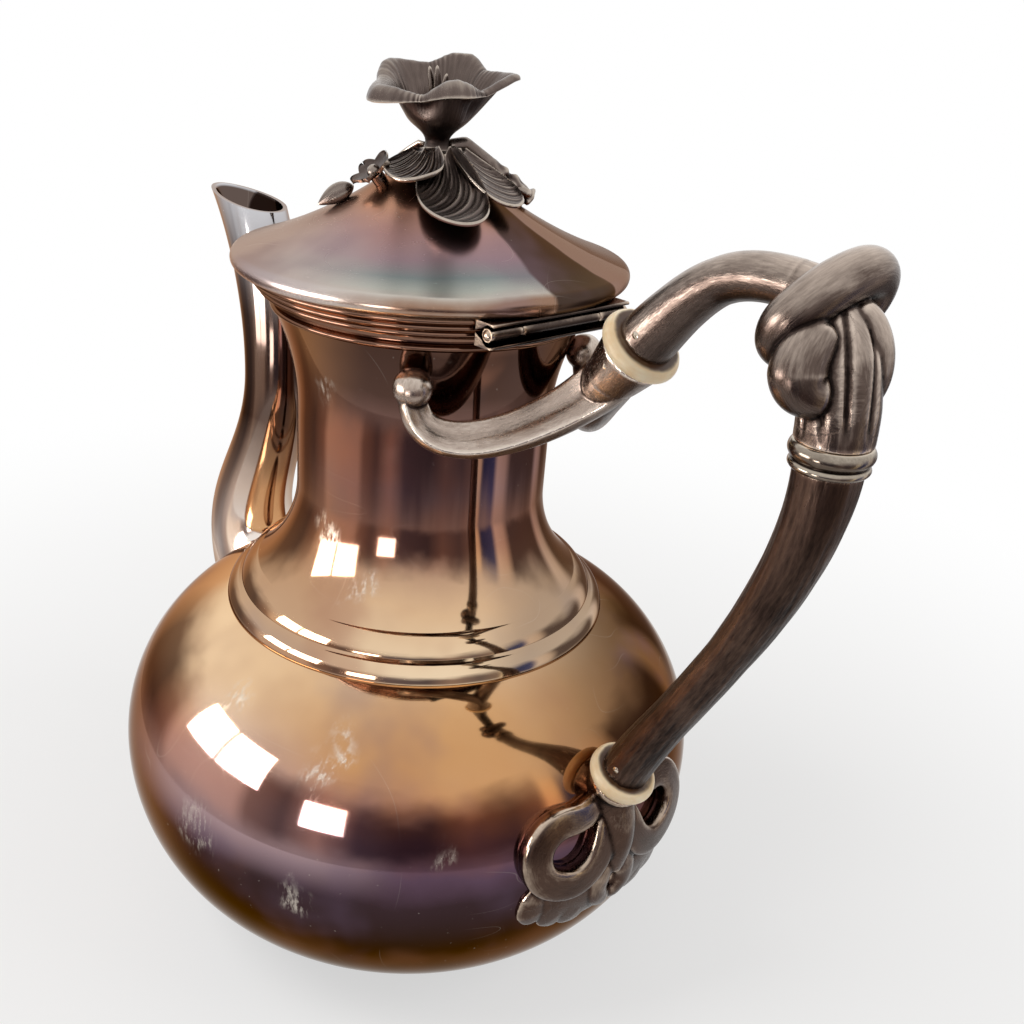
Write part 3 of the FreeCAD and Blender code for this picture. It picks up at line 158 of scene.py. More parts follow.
def spline(knots: Array, count: int) -> Array:
    """Natural cubic curve through knots, solved for all columns at once.

    Second slopes at the knots come from the usual banded system, and each span is the cubic they give.

    Args:
        knots: array whose first axis is the knot.
        count: number of points wanted.

    Returns:
        The points, evenly spaced in the knots' chord length.
    """
    knots = np.asarray(knots, float)
    shape = knots.shape
    flat = knots.reshape(shape[0], -1)
    steps = np.linalg.norm(np.diff(flat, axis=0), axis=1)
    place = np.concatenate([[0.0], np.cumsum(np.sqrt(steps) * np.sqrt(steps.mean()))])
    gap = np.diff(place)
    size = shape[0]
    band = np.eye(size)
    right = np.zeros_like(flat)
    inner = np.arange(1, size - 1)
    band[inner, inner] = 2 * (gap[:-1] + gap[1:])
    band[inner, inner - 1] = gap[:-1]
    band[inner, inner + 1] = gap[1:]
    slope = np.diff(flat, axis=0) / gap[:, None]
    right[1:-1] = 6 * (slope[1:] - slope[:-1])
    bend = np.linalg.solve(band, right)
    want = np.linspace(0.0, place[-1], count)
    span = np.clip(np.searchsorted(place, want, side="right") - 1, 0, size - 2)
    width = gap[span][:, None]
    low = (place[span + 1] - want)[:, None] / width
    high = 1.0 - low
    curve = low * flat[span] + high * flat[span + 1]
    curve += ((low**3 - low) * bend[span] + (high**3 - high) * bend[span + 1]) * width**2 / 6
    return curve.reshape((count,) + shape[1:])


def pole_curve(poles: Sequence[Sequence[float]], count: int) -> Array:
    """Points of the cubic curve given by its four poles, by the weights of the cubic expansion.

    Args:
        poles: the four poles.
        count: number of points.

    Returns:
        The points in a row.
    """
    t = shares(count)[:, None]
    a, b, c, d = (np.asarray(pole, float) for pole in poles)
    return a * (1 - t) ** 3 + b * 3 * t * (1 - t) ** 2 + c * 3 * t**2 * (1 - t) + d * t**3


def carried_frame(path: Array) -> tuple[Array, Array, Array]:
    """Tangents of a path with two sides square to it that never spin about it.

    Each side is the last one with its part along the new tangent taken out.

    Args:
        path: points in a row.

    Returns:
        Tangents, first sides and second sides.
    """
    tangent = np.gradient(path, axis=0)
    tangent /= np.linalg.norm(tangent, axis=1)[:, None]
    side = np.empty_like(path)
    guess = np.array([0.0, 1.0, 0.0]) if abs(tangent[0, 1]) < 0.9 else np.array([1.0, 0.0, 0.0])
    for k, along in enumerate(tangent):
        guess = guess - along * guess.dot(along)
        guess /= np.linalg.norm(guess)
        side[k] = guess
    return tangent, side, np.cross(tangent, side)


def turned(outline: Array, columns: int = AROUND) -> Array:
    """An outline of radius and height carried round the pot's axis, as a grid of points.

    Args:
        outline: radius and height of each point.
        columns: points round the axis.

    Returns:
        Rows by columns by three.
    """
    angle = turns(columns)
    radius, height = outline[:, 0][:, None], outline[:, 1][:, None]
    up = np.broadcast_to(height, (len(outline), columns))
    return np.stack([radius * np.cos(angle), radius * np.sin(angle), up], axis=2)


def carried(
    path: Array,
    radius: Array,
    columns: int = 48,
    flat: float = 1.0,
    section: Optional[Callable] = None,
    up: Optional[Array] = None,
) -> tuple[Array, Array]:
    """A round or flattened section carried along a path.

    Args:
        path: points of the middle line.
        radius: section radius at each point.
        columns: points round the section.
        flat: share of the radius left along the second side.
        section: factor on the radius as a function of row share and angle.
        up: the way that the second side faces at each point, or None for sides that don't spin.

    Returns:
        The grid, and the same grid straightened out, which gives the grain of the metal.
    """
    tangent, side, other = carried_frame(path)
    if up is not None:
        other = up - tangent * np.einsum("ij,ij->i", up, tangent)[:, None]
        other /= np.linalg.norm(other, axis=1)[:, None]
        side = np.cross(other, tangent)
    angle = turns(columns)
    share = shares(len(path))[:, None]
    size = np.asarray(radius, float)[:, None] * np.ones_like(angle)
    if section is not None:
        size = size * section(share, angle[None, :])
    across, high = size * np.cos(angle), size * np.sin(angle) * flat
    grid = path[:, None, :] + across[..., None] * side[:, None, :] + high[..., None] * other[:, None, :]
    steps = np.linalg.norm(np.diff(path, axis=0), axis=1)
    along = np.concatenate([[0.0], np.cumsum(steps)])[:, None] * np.ones_like(angle)
    return grid, np.stack([along, across, high], axis=2)


def squared(_: Array, angle: Array) -> Array:
    """Section factor of a strap: the fourth-power oval, flat on its faces with rounded edges."""
    return (np.cos(angle) ** 4 + np.sin(angle) ** 4) ** -0.25


def troughed(_: Array, angle: Array) -> Array:
    """Section factor of a bar that is round below and has a shallow trough above: its height over the sine."""
    rise = np.maximum(np.sin(angle), 0.0)
    return np.minimum(1.0, (0.42 - 0.07 * rise**4) / np.maximum(rise, 0.2))


def round_ends(radius: Array, share: float) -> Array:
    """Shrinks a row of radii to a rounded point at both ends, over a share of the row, as a quarter circle does.

    Args:
        radius: the radii.
        share: share of the row that each end takes.

    Returns:
        The new radii.
    """
    place = shares(len(radius))
    near = np.clip(np.minimum(place, 1 - place) / share, 0.0, 1.0)
    return np.asarray(radius, float) * np.sqrt(np.clip(1 - (1 - near) ** 2, 0.0, 1.0)).clip(0.02)


# Meshes


class Skin:
    """Collects grids of points and makes one mesh of them."""

    def __init__(self, name: str) -> None:
        """Starts an empty skin with the piece's name.

        Args:
            name: the piece's name.
        """
        self.name = name
        self.points: list[Array] = []
        self.grains: list[Array] = []
        self.quads: list[Array] = []
        self.fans: list[Array] = []
        self.total = 0

    def add(
        self,
        grid: Array,
        grain: Optional[Array] = None,
        loop_rows: bool = False,
        loop_columns: bool = True,
        caps: bool = False,
    ) -> "Skin":
        """Adds one grid; its faces point outwards because a negative signed volume turns them round.

        Args:
            grid: rows by columns by three.
            grain: straightened coordinates for the grain, or None for the points themselves.
            loop_rows: whether the last row joins the first.
            loop_columns: whether the last column joins the first.
            caps: whether the first and last rows are closed by fans about their middles.

        Returns:
            The skin itself.
        """
        rows, columns = grid.shape[:2]
        index = np.arange(rows * columns).reshape(rows, columns)
        if loop_rows:
            index = np.vstack([index, index[:1]])
        if loop_columns:
            index = np.hstack([index, index[:, :1]])
        quads = np.stack([index[:-1, :-1], index[1:, :-1], index[1:, 1:], index[:-1, 1:]], axis=2).reshape(-1, 4)
        points = grid.reshape(-1, 3)
        straight = points if grain is None else grain.reshape(-1, 3)
        fans = np.empty((0, 3), int)
        if caps:
            ends = np.stack([grid[0].mean(axis=0), grid[-1].mean(axis=0)])
            soft = straight.reshape(rows, columns, 3)
            points = np.vstack([points, ends])
            straight = np.vstack([straight, soft[0].mean(axis=0), soft[-1].mean(axis=0)])
            first = np.full(columns, rows * columns)
            head = np.stack([index[0, :-1], index[0, 1:], first], axis=1)
            tail = np.stack([index[-1, 1:], index[-1, :-1], first + 1], axis=1)
            fans = np.vstack([head, tail])
        corner = points[quads]
        volume = np.einsum("ij,ij->", corner[:, 0], np.cross(corner[:, 1], corner[:, 2]))
        volume += np.einsum("ij,ij->", corner[:, 0], np.cross(corner[:, 2], corner[:, 3]))
        if len(fans):
            tips = points[fans]
            volume += np.einsum("ij,ij->", tips[:, 0], np.cross(tips[:, 1], tips[:, 2]))
        if volume < 0:
            quads, fans = quads[:, ::-1], fans[:, ::-1]
        self.points.append(points)
        self.grains.append(straight)
        self.quads.append(quads + self.total)
        self.fans.append(fans + self.total)
        self.total += len(points)
        return self

    def bar(self, path: Array, radius: Array, columns: int = 48, **shape: object) -> "Skin":
        """Adds a closed bar, carried along a path.

        Args:
            path: points of the middle line.
            radius: section radius at each point.
            columns: points round the section.
            shape: whatever else carried takes.

        Returns:
            The skin itself.
        """
        grid, grain = carried(path, radius, columns, **shape)
        return self.add(grid, grain, caps=True)

    def make(self, crease: float = 35.0) -> Piece:
        """Makes the mesh object, smooth but for edges sharper than the crease angle.

        Args:
            crease: angle in degrees.

        Returns:
            The object, at the origin, in metres.
        """
        points, grain = np.vstack(self.points) * MM, np.vstack(self.grains)
        quads, fans = np.vstack(self.quads), np.vstack(self.fans)
        corners = np.concatenate([quads.ravel(), fans.ravel()])
        starts = np.concatenate([np.arange(len(quads)) * 4, len(quads) * 4 + np.arange(len(fans)) * 3])
        mesh = bpy.data.meshes.new(self.name)
        mesh.vertices.add(len(points))
        mesh.vertices.foreach_set("co", points.ravel().astype(np.float32))
        mesh.loops.add(len(corners))
        mesh.loops.foreach_set("vertex_index", corners.astype(np.int32))
        mesh.polygons.add(len(starts))
        mesh.polygons.foreach_set("loop_start", starts.astype(np.int32))
        mesh.update(calc_edges=True)
        mesh.polygons.foreach_set("use_smooth", np.ones(len(starts), bool))
        mesh.set_sharp_from_angle(angle=math.radians(crease))
        obj = bpy.data.objects.new(self.name, mesh)
        bpy.context.scene.collection.objects.link(obj)
        put_grain(mesh, grain)
        put_wear_and_top_light(mesh)
        return obj


def put_grain(mesh: bpy.types.Mesh, grain: Array) -> None:
    """Stores straightened coordinates on a mesh, in centimetres, for materials to read as grain."""
    layer = mesh.attributes.get("grain") or mesh.attributes.new("grain", "FLOAT_VECTOR", "POINT")
    layer.data.foreach_set("vector", (grain * 0.1).ravel().astype(np.float32))


def put_wear_and_top_light(mesh: bpy.types.Mesh, rounds: int = 3) -> None:
    """Stores how worn each point is, with painted light on tops and painted shade underneath, from 0 in a hollow or
    underneath to 1 on an edge or a top.

    A point's height is its offset from its neighbours' mean along its normal, over the mean edge length,
    averaged with its neighbours a few times. A share of how far the point faces up is added to it as painted light on
    tops, which leaves undersides darker as painted shade.

    Args:
        mesh: the mesh to mark.
        rounds: number of averagings.
    """
    count = len(mesh.vertices)
    place = np.empty(count * 3, np.float32)
    mesh.vertices.foreach_get("co", place)
    normal = np.empty(count * 3, np.float32)
    mesh.vertex_normals.foreach_get("vector", normal)
    ends = np.empty(len(mesh.edges) * 2, np.int32)
    mesh.edges.foreach_get("vertices", ends)
    place, normal, ends = place.reshape(-1, 3), normal.reshape(-1, 3), ends.reshape(-1, 2)
    both = np.concatenate([ends, ends[:, ::-1]])
    degree = np.bincount(both[:, 0], minlength=count).clip(1)
    span = np.linalg.norm(place[both[:, 0]] - place[both[:, 1]], axis=1)
    reach = np.bincount(both[:, 0], weights=span, minlength=count) / degree
    mean = np.stack([np.bincount(both[:, 0], weights=place[both[:, 1], k], minlength=count) for k in range(3)], axis=1)
    proud = np.einsum("ij,ij->i", place - mean / degree[:, None], normal) / np.maximum(reach, 1e-9) ** 2 * MM
    for _ in range(rounds):
        around = np.bincount(both[:, 0], weights=proud[both[:, 1]], minlength=count) / degree
        proud = 0.5 * (proud + around)
    layer = mesh.attributes.get("wear_and_top_light") or mesh.attributes.new("wear_and_top_light", "FLOAT", "POINT")
    # The upward part of each normal adds painted light on tops and leaves painted shade underneath.
    worn = np.clip(SIDE_WEAR + proud + TOP_PAINTED_LIGHT * normal[:, 2], 0.0, 1.0)
    layer.data.foreach_set("value", worn.astype(np.float32))


def melt(obj: Piece, voxel: float, rounds: int, strands: Sequence[Array]) -> None:
    """Melts overlapping bars into one casting and gives it the grain of the nearest bar.

    The bars become one skin of small voxels, which is then averaged to leave fillets where bars meet.

    Args:
        obj: the piece to melt.
        voxel: voxel size in millimetres.
        rounds: number of smoothings.
        strands: middle lines of the bars.
    """
    remesh = obj.modifiers.new("melt", "REMESH")
    remesh.mode = "VOXEL"
    remesh.voxel_size = voxel * MM
    soften = obj.modifiers.new("soften", "SMOOTH")
    soften.factor = 0.5
    soften.iterations = rounds
    mesh = bpy.data.meshes.new_from_object(obj.evaluated_get(bpy.context.evaluated_depsgraph_get()))
    obj.modifiers.clear()
    obj.data = mesh
    mesh.polygons.foreach_set("use_smooth", np.ones(len(mesh.polygons), bool))
    place = np.empty(len(mesh.vertices) * 3, np.float32)
    mesh.vertices.foreach_get("co", place)
    put_grain(mesh, strand_grain(place.reshape(-1, 3) / MM, strands))
    put_wear_and_top_light(mesh, 6)


def strand_grain(points: Array, strands: Sequence[Array]) -> Array:
    """Straightened coordinates of points: way along the nearest strand, and offsets to its two sides.

    Args:
        points: the points.
        strands: middle lines of the bars.

    Returns:
        One row for each point.
    """
    middle = np.vstack(strands)
    frames = [carried_frame(strand) for strand in strands]
    side, other = np.vstack([f[1] for f in frames]), np.vstack([f[2] for f in frames])
    along = np.concatenate([
        k * STRAND_STEP + np.concatenate([[0.0], np.cumsum(np.linalg.norm(np.diff(s, axis=0), axis=1))])
        for k, s in enumerate(strands)
    ])
    parts = []
    for chunk in np.array_split(points, max(1, len(points) // BATCH)):
        away = ((chunk[:, None, :] - middle[None]) ** 2).sum(axis=2)
        near = away.argmin(axis=1)
        off = chunk - middle[near]
        parts.append(np.stack([
            along[near], np.einsum("ij,ij->i", off, side[near]), np.einsum("ij,ij->i", off, other[near])
        ], axis=1))
    return np.vstack(parts)


def settle(obj: Piece, body: BodyName, slot: Slot, material: Material, *nodes: str) -> None:
    """Dresses a piece, lets it ride on its body and stand for its CAD nodes.

    Args:
        obj: the piece.
        body: the body it moves with.
        slot: its material slot in the record; not used.
        material: its finish.
        nodes: the CAD nodes it stands for.
    """
    obj.data.materials.clear()
    obj.data.materials.append(material)
    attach(obj, body.value)
    if nodes:
        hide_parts(*nodes)
    log.info("%s: %d faces, stands for %s", obj.name, len(obj.data.polygons), ", ".join(nodes) or "nothing")


# Finishes


class Shader:
    """A short hand for building one node material."""

    def __init__(self, name: str) -> None:
        """Starts a material with its shader and coordinates.

        Args:
            name: material name.
        """
        self.material = bpy.data.materials.new(name)
        self.material.use_nodes = True
        self.tree = self.material.node_tree
        self.bsdf = self.tree.nodes["Principled BSDF"]
        self.place = self.node("TexCoord").outputs["Object"]

    def node(self, kind: str) -> bpy.types.Node:
        """A new node of a kind."""
        return self.tree.nodes.new("ShaderNode" + kind)

    def fix(self, name: str, value: object) -> None:
        """Links an output to one of the shader's own sockets, or sets a plain value on it."""
        self.put(self.bsdf.inputs[name], value)

    def put(self, socket: Socket, value: object) -> None:
        """Links an output to a socket, or sets a plain value on it."""
        if isinstance(value, Socket):
            self.tree.links.new(value, socket)
        else:
            socket.default_value = value

    def made(self, kind: str, values: Sequence[object], output: object = 0, **settings: object) -> Socket:
        """A new node with its settings and the values of its first sockets.

        Args:
            kind: what its type has after ShaderNode.
            values: numbers, vectors or outputs, in the order of its sockets.
            output: name or number of the output wanted.
            settings: the node's own settings.

        Returns:
            That output.
        """
        node = self.node(kind)
        for name, setting in settings.items():
            setattr(node, name, setting)
        for socket, value in zip(node.inputs, values):
            self.put(socket, value)
        return node.outputs[output]

    def math(self, operation: str, *values: object) -> Socket:
        """One arithmetic node on up to three values."""
        return self.made("Math", values, operation=operation)

    def vector(self, operation: str, *values: object, output: str = "Vector") -> Socket:
        """One vector arithmetic node."""
        return self.made("VectorMath", values, output, operation=operation)

    def length(self, where: object, centre: Sequence[float] = (0.0, 0.0, 0.0)) -> Socket:
        """Distance of a point from a centre."""
        return self.vector("DISTANCE", where, tuple(centre), output="Value")

    def attribute(self, name: str, output: str) -> Socket:
        """A mesh attribute."""
        return self.made("Attribute", (), output, attribute_name=name)

    def axis(self, letter: str) -> Socket:
        """One object coordinate, in metres."""
        return self.made("SeparateXYZ", (self.place,), letter)

    def noise(
        self, scale: float, detail: float = 3.0, where: object = None, rough: float = 0.5, output: str = "Fac"
    ) -> Socket:
        """Cloudy noise at a scale per unit of its coordinates.

        Args:
            scale: waves per unit.
            detail: number of finer layers.
            where: coordinates, or None for the object's.
            rough: weight of the finer layers.
            output: the output wanted.

        Returns:
            That output.
        """
        node = self.node("TexNoise")
        self.put(node.inputs["Vector"], where or self.place)
        node.inputs["Scale"].default_value = scale
        node.inputs["Detail"].default_value = detail
        node.inputs["Roughness"].default_value = rough
        return node.outputs[output]

    def ramp(
        self, value: object, stops: Sequence[tuple[float, Sequence[float]]], smooth: bool = True
    ) -> Socket:
        """A colour for each value, from stops of place and colour.

        Args:
            value: where to look.
            stops: place and colour of each stop.
            smooth: whether stops melt into each other.

        Returns:
            The colour.
        """
        node = self.node("ValToRGB")
        node.color_ramp.interpolation = "B_SPLINE" if smooth else "LINEAR"
        points = node.color_ramp.elements
        for element, (place, colour) in zip(points, stops[:2]):
            element.position, element.color = place, colour
        for place, colour in stops[2:]:
            points.new(place).color = colour
        self.put(node.inputs["Fac"], value)
        return node.outputs["Color"]

    def span(
        self, value: object, low: float, high: float, to_low: float = 0.0, to_high: float = 1.0, smooth: bool = True
    ) -> Socket:
        """A value brought from one range to another and held at its ends."""
        ease = "SMOOTHSTEP" if smooth else "LINEAR"
        return self.made("MapRange", (value, low, high, to_low, to_high), interpolation_type=ease)

    def mix(self, share: object, first: object, second: object) -> Socket:
        """A blend of two colours.

        Args:
            share: share of the second.
            first, second: the colours.

        Returns:
            The blend.
        """
        node = self.node("Mix")
        node.data_type = "RGBA"
        self.put(node.inputs["Factor"], share)
        self.put(node.inputs["A"], first)
        self.put(node.inputs["B"], second)
        return node.outputs["Result"]

    def stretched(self, where: object, along: Sequence[float]) -> Socket:
        """Coordinates scaled differently along each axis."""
        return self.vector("MULTIPLY", where, tuple(along))

    def bump(self, height: object, depth: float, strength: float = 1.0) -> None:
        """Raises the surface by a height, in metres at full height.

        Args:
            height: height from 0 to 1.
            depth: metres at full height.
            strength: how far it counts.
        """
        node = self.node("Bump")
        node.inputs["Strength"].default_value = strength
        node.inputs["Distance"].default_value = depth
        self.put(node.inputs["Height"], height)
        self.fix("Normal", node.outputs[0])


@dataclass(frozen=True)
class Shade:
    """A side of a piece with another tint; some are tarnished sides, others painted reflections and painted light.

    Attributes:
        azimuth: the way that the side faces, in degrees.
        start, end: how far out that way the tint starts and is full, in metres.
        colour: screen colour.
        share: how strong it gets.
        above: height in metres under which the tint fades out.
    """

    azimuth: float
    start: float
    end: float
    colour: Screen
    share: float = 0.8
    above: float = 0.0


@dataclass(frozen=True)
class PlateFinish:
    """Mirror silver plate, tarnished in thin-film bands that change with height; some bands and tinted sides are
    painted reflections and painted shade.

    Attributes:
        name: material name.
        low, high: heights in metres between which the bands are spread.
        bands: place from 0 to 1 and screen colour of each band.
        clouds: screen colours of the cloudy patches over the bands.
        cloud_share: how strong the patches are.
        gloss: roughness of the clean mirror.
        wander: how far the bands wander up and down, as a share of their spread.
        by_radius: whether the bands follow the distance from the axis instead of the height.
        shades: sides with another tint, some of them painted reflections and painted light.
        rubs: place in millimetres and radius of each whitish patch where the plate is rubbed.
        painted_inside_shade: screen colour of the painted shade inside, where a piece marks it.
    """

    name: str
    low: float
    high: float
    bands: tuple[tuple[float, Screen], ...]
    clouds: tuple[Screen, ...]
    cloud_share: float = 0.4
    gloss: float = 0.05
    wander: float = 0.14
    by_radius: bool = False
    shades: tuple[Shade, ...] = ()
    rubs: tuple[tuple[float, float, float, float], ...] = ()
    painted_inside_shade: Screen = (96, 82, 76)

    def tarnish_and_painted_reflections(self, s: Shader) -> Socket:
        """Colour of the tarnished plate with painted reflections and painted shade: bands that wander, tinted sides,
        cloudy patches and the painted shade inside.

        Args:
            s: the shader to build in.

        Returns:
            The colour.
        """
        way = s.length(s.vector("MULTIPLY", s.place, (1.0, 1.0, 0.0))) if self.by_radius else s.axis("Z")
        spread = s.span(way, self.low, self.high, smooth=False)
        drift = s.math("MULTIPLY_ADD", s.noise(14.0, 2.0), self.wander * 2, -self.wander)
        fine = s.math("MULTIPLY_ADD", s.noise(70.0, 4.0), self.wander * 0.5, -self.wander * 0.25)
        where = s.math("ADD", s.math("ADD", spread, drift), fine)
        colour = s.ramp(where, [(place, linear(*shade)) for place, shade in self.bands], smooth=False)
        astray = self.astray(s, 30.0, 0.008)
        for shade in self.shades:
            turn = math.radians(shade.azimuth)
            out = s.vector("DOT_PRODUCT", astray, (math.cos(turn), math.sin(turn), 0.0), output="Value")
            reach = s.span(out, shade.start, shade.end, 0.0, shade.share)
            if shade.above:
                reach = s.math("MULTIPLY", reach, s.span(s.axis("Z"), shade.above - 0.007, shade.above + 0.007))
            colour = s.mix(reach, colour, linear(*shade.colour))
        for number, cloud in enumerate(self.clouds):
            aside = s.vector("ADD", s.place, (0.31 * number, 0.17, 0.0))
            patches = s.span(s.noise(20.0 + 9.0 * number, 3.0, aside), 0.5, 0.7, 0.0, self.cloud_share)
            colour = s.mix(patches, colour, linear(*cloud))
        # Painted shade inside, on the rows that a piece marks.
        return s.mix(s.attribute("painted_inside_shade", "Fac"), colour, linear(*self.painted_inside_shade))

    @staticmethod
    def astray(s: Shader, scale: float, reach: float) -> Socket:
        """The place of a point, led astray by noise of a scale and a full reach in metres."""
        wobble = s.vector("MULTIPLY_ADD", s.noise(scale, 4.0, output="Color"), (reach,) * 3, (-reach / 2,) * 3)
        return s.vector("ADD", s.place, wobble)

    def rubbed(self, s: Shader) -> Socket:
        """Share of rubbed plate: specks, smears, hairline scratches and the larger patches, all broken up by noise.

        A scratch is drawn where a stretched noise passes through its middle value.

        Args:
            s: the shader to build in.

        Returns:
            The share.
        """
        specks = s.span(s.noise(620.0, 2.0), 0.72, 0.8, 0.0, 0.4)
        worn = s.math("MULTIPLY", specks, s.span(s.noise(16.0, 2.0), 0.45, 0.65))
        worn = s.math("MAXIMUM", worn, s.span(s.noise(34.0, 5.0, rough=0.7), 0.68, 0.8, 0.0, 0.3))
        for number, along in enumerate(((1.4, 1.2, 0.2), (0.3, 0.8, 2.0))):
            wave = s.noise(48.0 + 20.0 * number, 0.0, s.stretched(s.place, along))
            hair = s.span(s.math("ABSOLUTE", s.math("SUBTRACT", wave, 0.5)), 0.003, 0.0, 0.0, 0.17)
            patch = s.span(s.noise(38.0, 1.0, s.vector("ADD", s.place, (0.5 * number, 0.2, 0.1))), 0.56, 0.66)
            worn = s.math("MAXIMUM", worn, s.math("MULTIPLY", hair, patch))
        streaks = s.span(s.noise(330.0, 4.0, s.stretched(s.place, (1.6, 1.0, 0.45)), 0.7), 0.44, 0.62)
        lost = self.astray(s, 90.0, 0.016)
        for x, y, z, size in self.rubs:
            away = s.length(lost, (x * MM, y * MM, z * MM))
            near = s.span(away, size * MM, size * MM * 0.2, 0.0, 0.65)
            worn = s.math("MAXIMUM", worn, s.math("MULTIPLY", near, streaks))
        return worn

    def build(self) -> Material:
        """Builds the node material.

        Returns:
            The material.
        """
        s = Shader(self.name)
        worn = self.rubbed(s)
        s.fix("Base Color", s.mix(worn, self.tarnish_and_painted_reflections(s), linear(222, 212, 200)))
        s.fix("Metallic", 1.0)
        s.fix("Specular Tint", EDGE_TINT)
        scratch_a = s.noise(40.0, 6.0, s.stretched(s.place, (2.0, 9.0, 60.0)), 0.65)
        scratch_b = s.noise(40.0, 6.0, s.stretched(s.place, (50.0, 7.0, 3.0)), 0.65)
        scratch = s.math("MAXIMUM", s.span(scratch_a, 0.6, 0.75), s.span(scratch_b, 0.62, 0.78))
        haze = s.span(s.noise(26.0, 4.0), 0.35, 0.75, self.gloss, self.gloss + 0.07)
        rough = s.math("ADD", haze, s.math("MULTIPLY", scratch, 0.04))
        s.fix("Roughness", s.math("ADD", rough, s.math("MULTIPLY", worn, 0.3)))
        dents = s.math("ADD", s.noise(24.0, 2.0), s.math("MULTIPLY", scratch, 0.02))
        s.bump(dents, 0.0002, 0.25)
        return s.material


@dataclass(frozen=True)
class CastFinish:
    """Cast silver with fine tooled grain along its strands, dark in the hollows, bright on worn edges, with painted
    light on tops and painted shade underneath.

    Attributes:
        name: material name.
        dark, middle, bright: screen colours of hollows and undersides with painted shade, faces, and worn edges and
            tops with painted light.
        gloss: roughness of the faces.
        grain: depth of the tooled grain in metres.
        along: grain lengths per centimetre along a strand.
        across: grain lines per centimetre across a strand.
        contrast: how much worn edges and tops with painted light differ from hollows and undersides with painted shade.
        hatch: how much the grain shows in the tone.
    """

    name: str
    dark: Screen
    middle: Screen
    bright: Screen
    gloss: float = 0.3
    grain: float = 0.0002
    along: float = 7.0
    across: float = 26.0
    contrast: float = 1.3
    hatch: float = 0.28

    def build(self) -> Material:
        """Builds the node material.

        Returns:
            The material.
        """
        s = Shader(self.name)
        run = s.stretched(s.attribute("grain", "Vector"), (self.along, self.across, self.across))
        hatch = s.noise(1.0, 4.0, run, 0.6)
        coarse = s.noise(0.45, 3.0, run, 0.5)
        wear_and_top_light = s.attribute("wear_and_top_light", "Fac")
        height = s.math("ADD", s.math("MULTIPLY", hatch, 0.7), s.math("MULTIPLY", coarse, 0.5))
        tooling = s.math("MULTIPLY_ADD", height, self.hatch, -0.02 - self.hatch)
        # The worn share also carries painted light on tops and painted shade underneath.
        tone = s.math("ADD", s.math("MULTIPLY", wear_and_top_light, self.contrast), tooling)
        tone = s.math("ADD", tone, s.math("MULTIPLY_ADD", s.noise(70.0, 3.0), 0.5, -0.25))
        stops = [(0.12, linear(*self.dark)), (0.52, linear(*self.middle)), (0.98, linear(*self.bright))]
        s.fix("Base Color", s.ramp(tone, stops, smooth=False))
        s.fix("Metallic", 1.0)
        rough = s.span(s.math("ADD", hatch, tone), 0.4, 1.5, self.gloss + 0.15, self.gloss - 0.05)
        s.fix("Roughness", rough)
        s.bump(height, self.grain, 0.8)
        return s.material


@dataclass(frozen=True)
class IvoryFinish:
    """Cream insulating rings with faint streaks, turning brown towards the faces where they meet the metal.

    Attributes:
        name: material name.
        pale, deep, face_brown: screen colours.
        faces: half the thickness in centimetres at which the brown is full.
    """

    name: str
    pale: Screen = (250, 232, 200)
    deep: Screen = (236, 202, 154)
    face_brown: Screen = (74, 46, 24)
    faces: float = 0.21

    def build(self) -> Material:
        """Builds the node material.

        Returns:
            The material.
        """
        s = Shader(self.name)
        grain = s.attribute("grain", "Vector")
        streak = s.noise(3.0, 4.0, s.stretched(grain, (1.0, 1.0, 8.0)))
        cloud = s.noise(220.0, 3.0)
        tone = s.math("ADD", s.math("MULTIPLY", streak, 0.3), s.math("MULTIPLY", cloud, 0.7))
        colour = s.ramp(tone, [(0.3, linear(*self.deep)), (0.62, linear(*self.pale))], smooth=False)
        height = s.math("ABSOLUTE", s.made("SeparateXYZ", (grain,), "Z"))
        edge = s.span(s.math("ADD", height, s.math("MULTIPLY_ADD", cloud, 0.04, -0.02)), self.faces - 0.035, self.faces)
        colour = s.mix(edge, colour, linear(*self.face_brown))
        s.fix("Base Color", colour)
        s.fix("Roughness", s.span(cloud, 0.3, 0.7, 0.28, 0.42))
        s.fix("Subsurface Weight", 0.12)
        s.fix("Subsurface Radius", (0.002, 0.0014, 0.0008))
        s.bump(streak, 0.00008, 0.4)
        return s.material


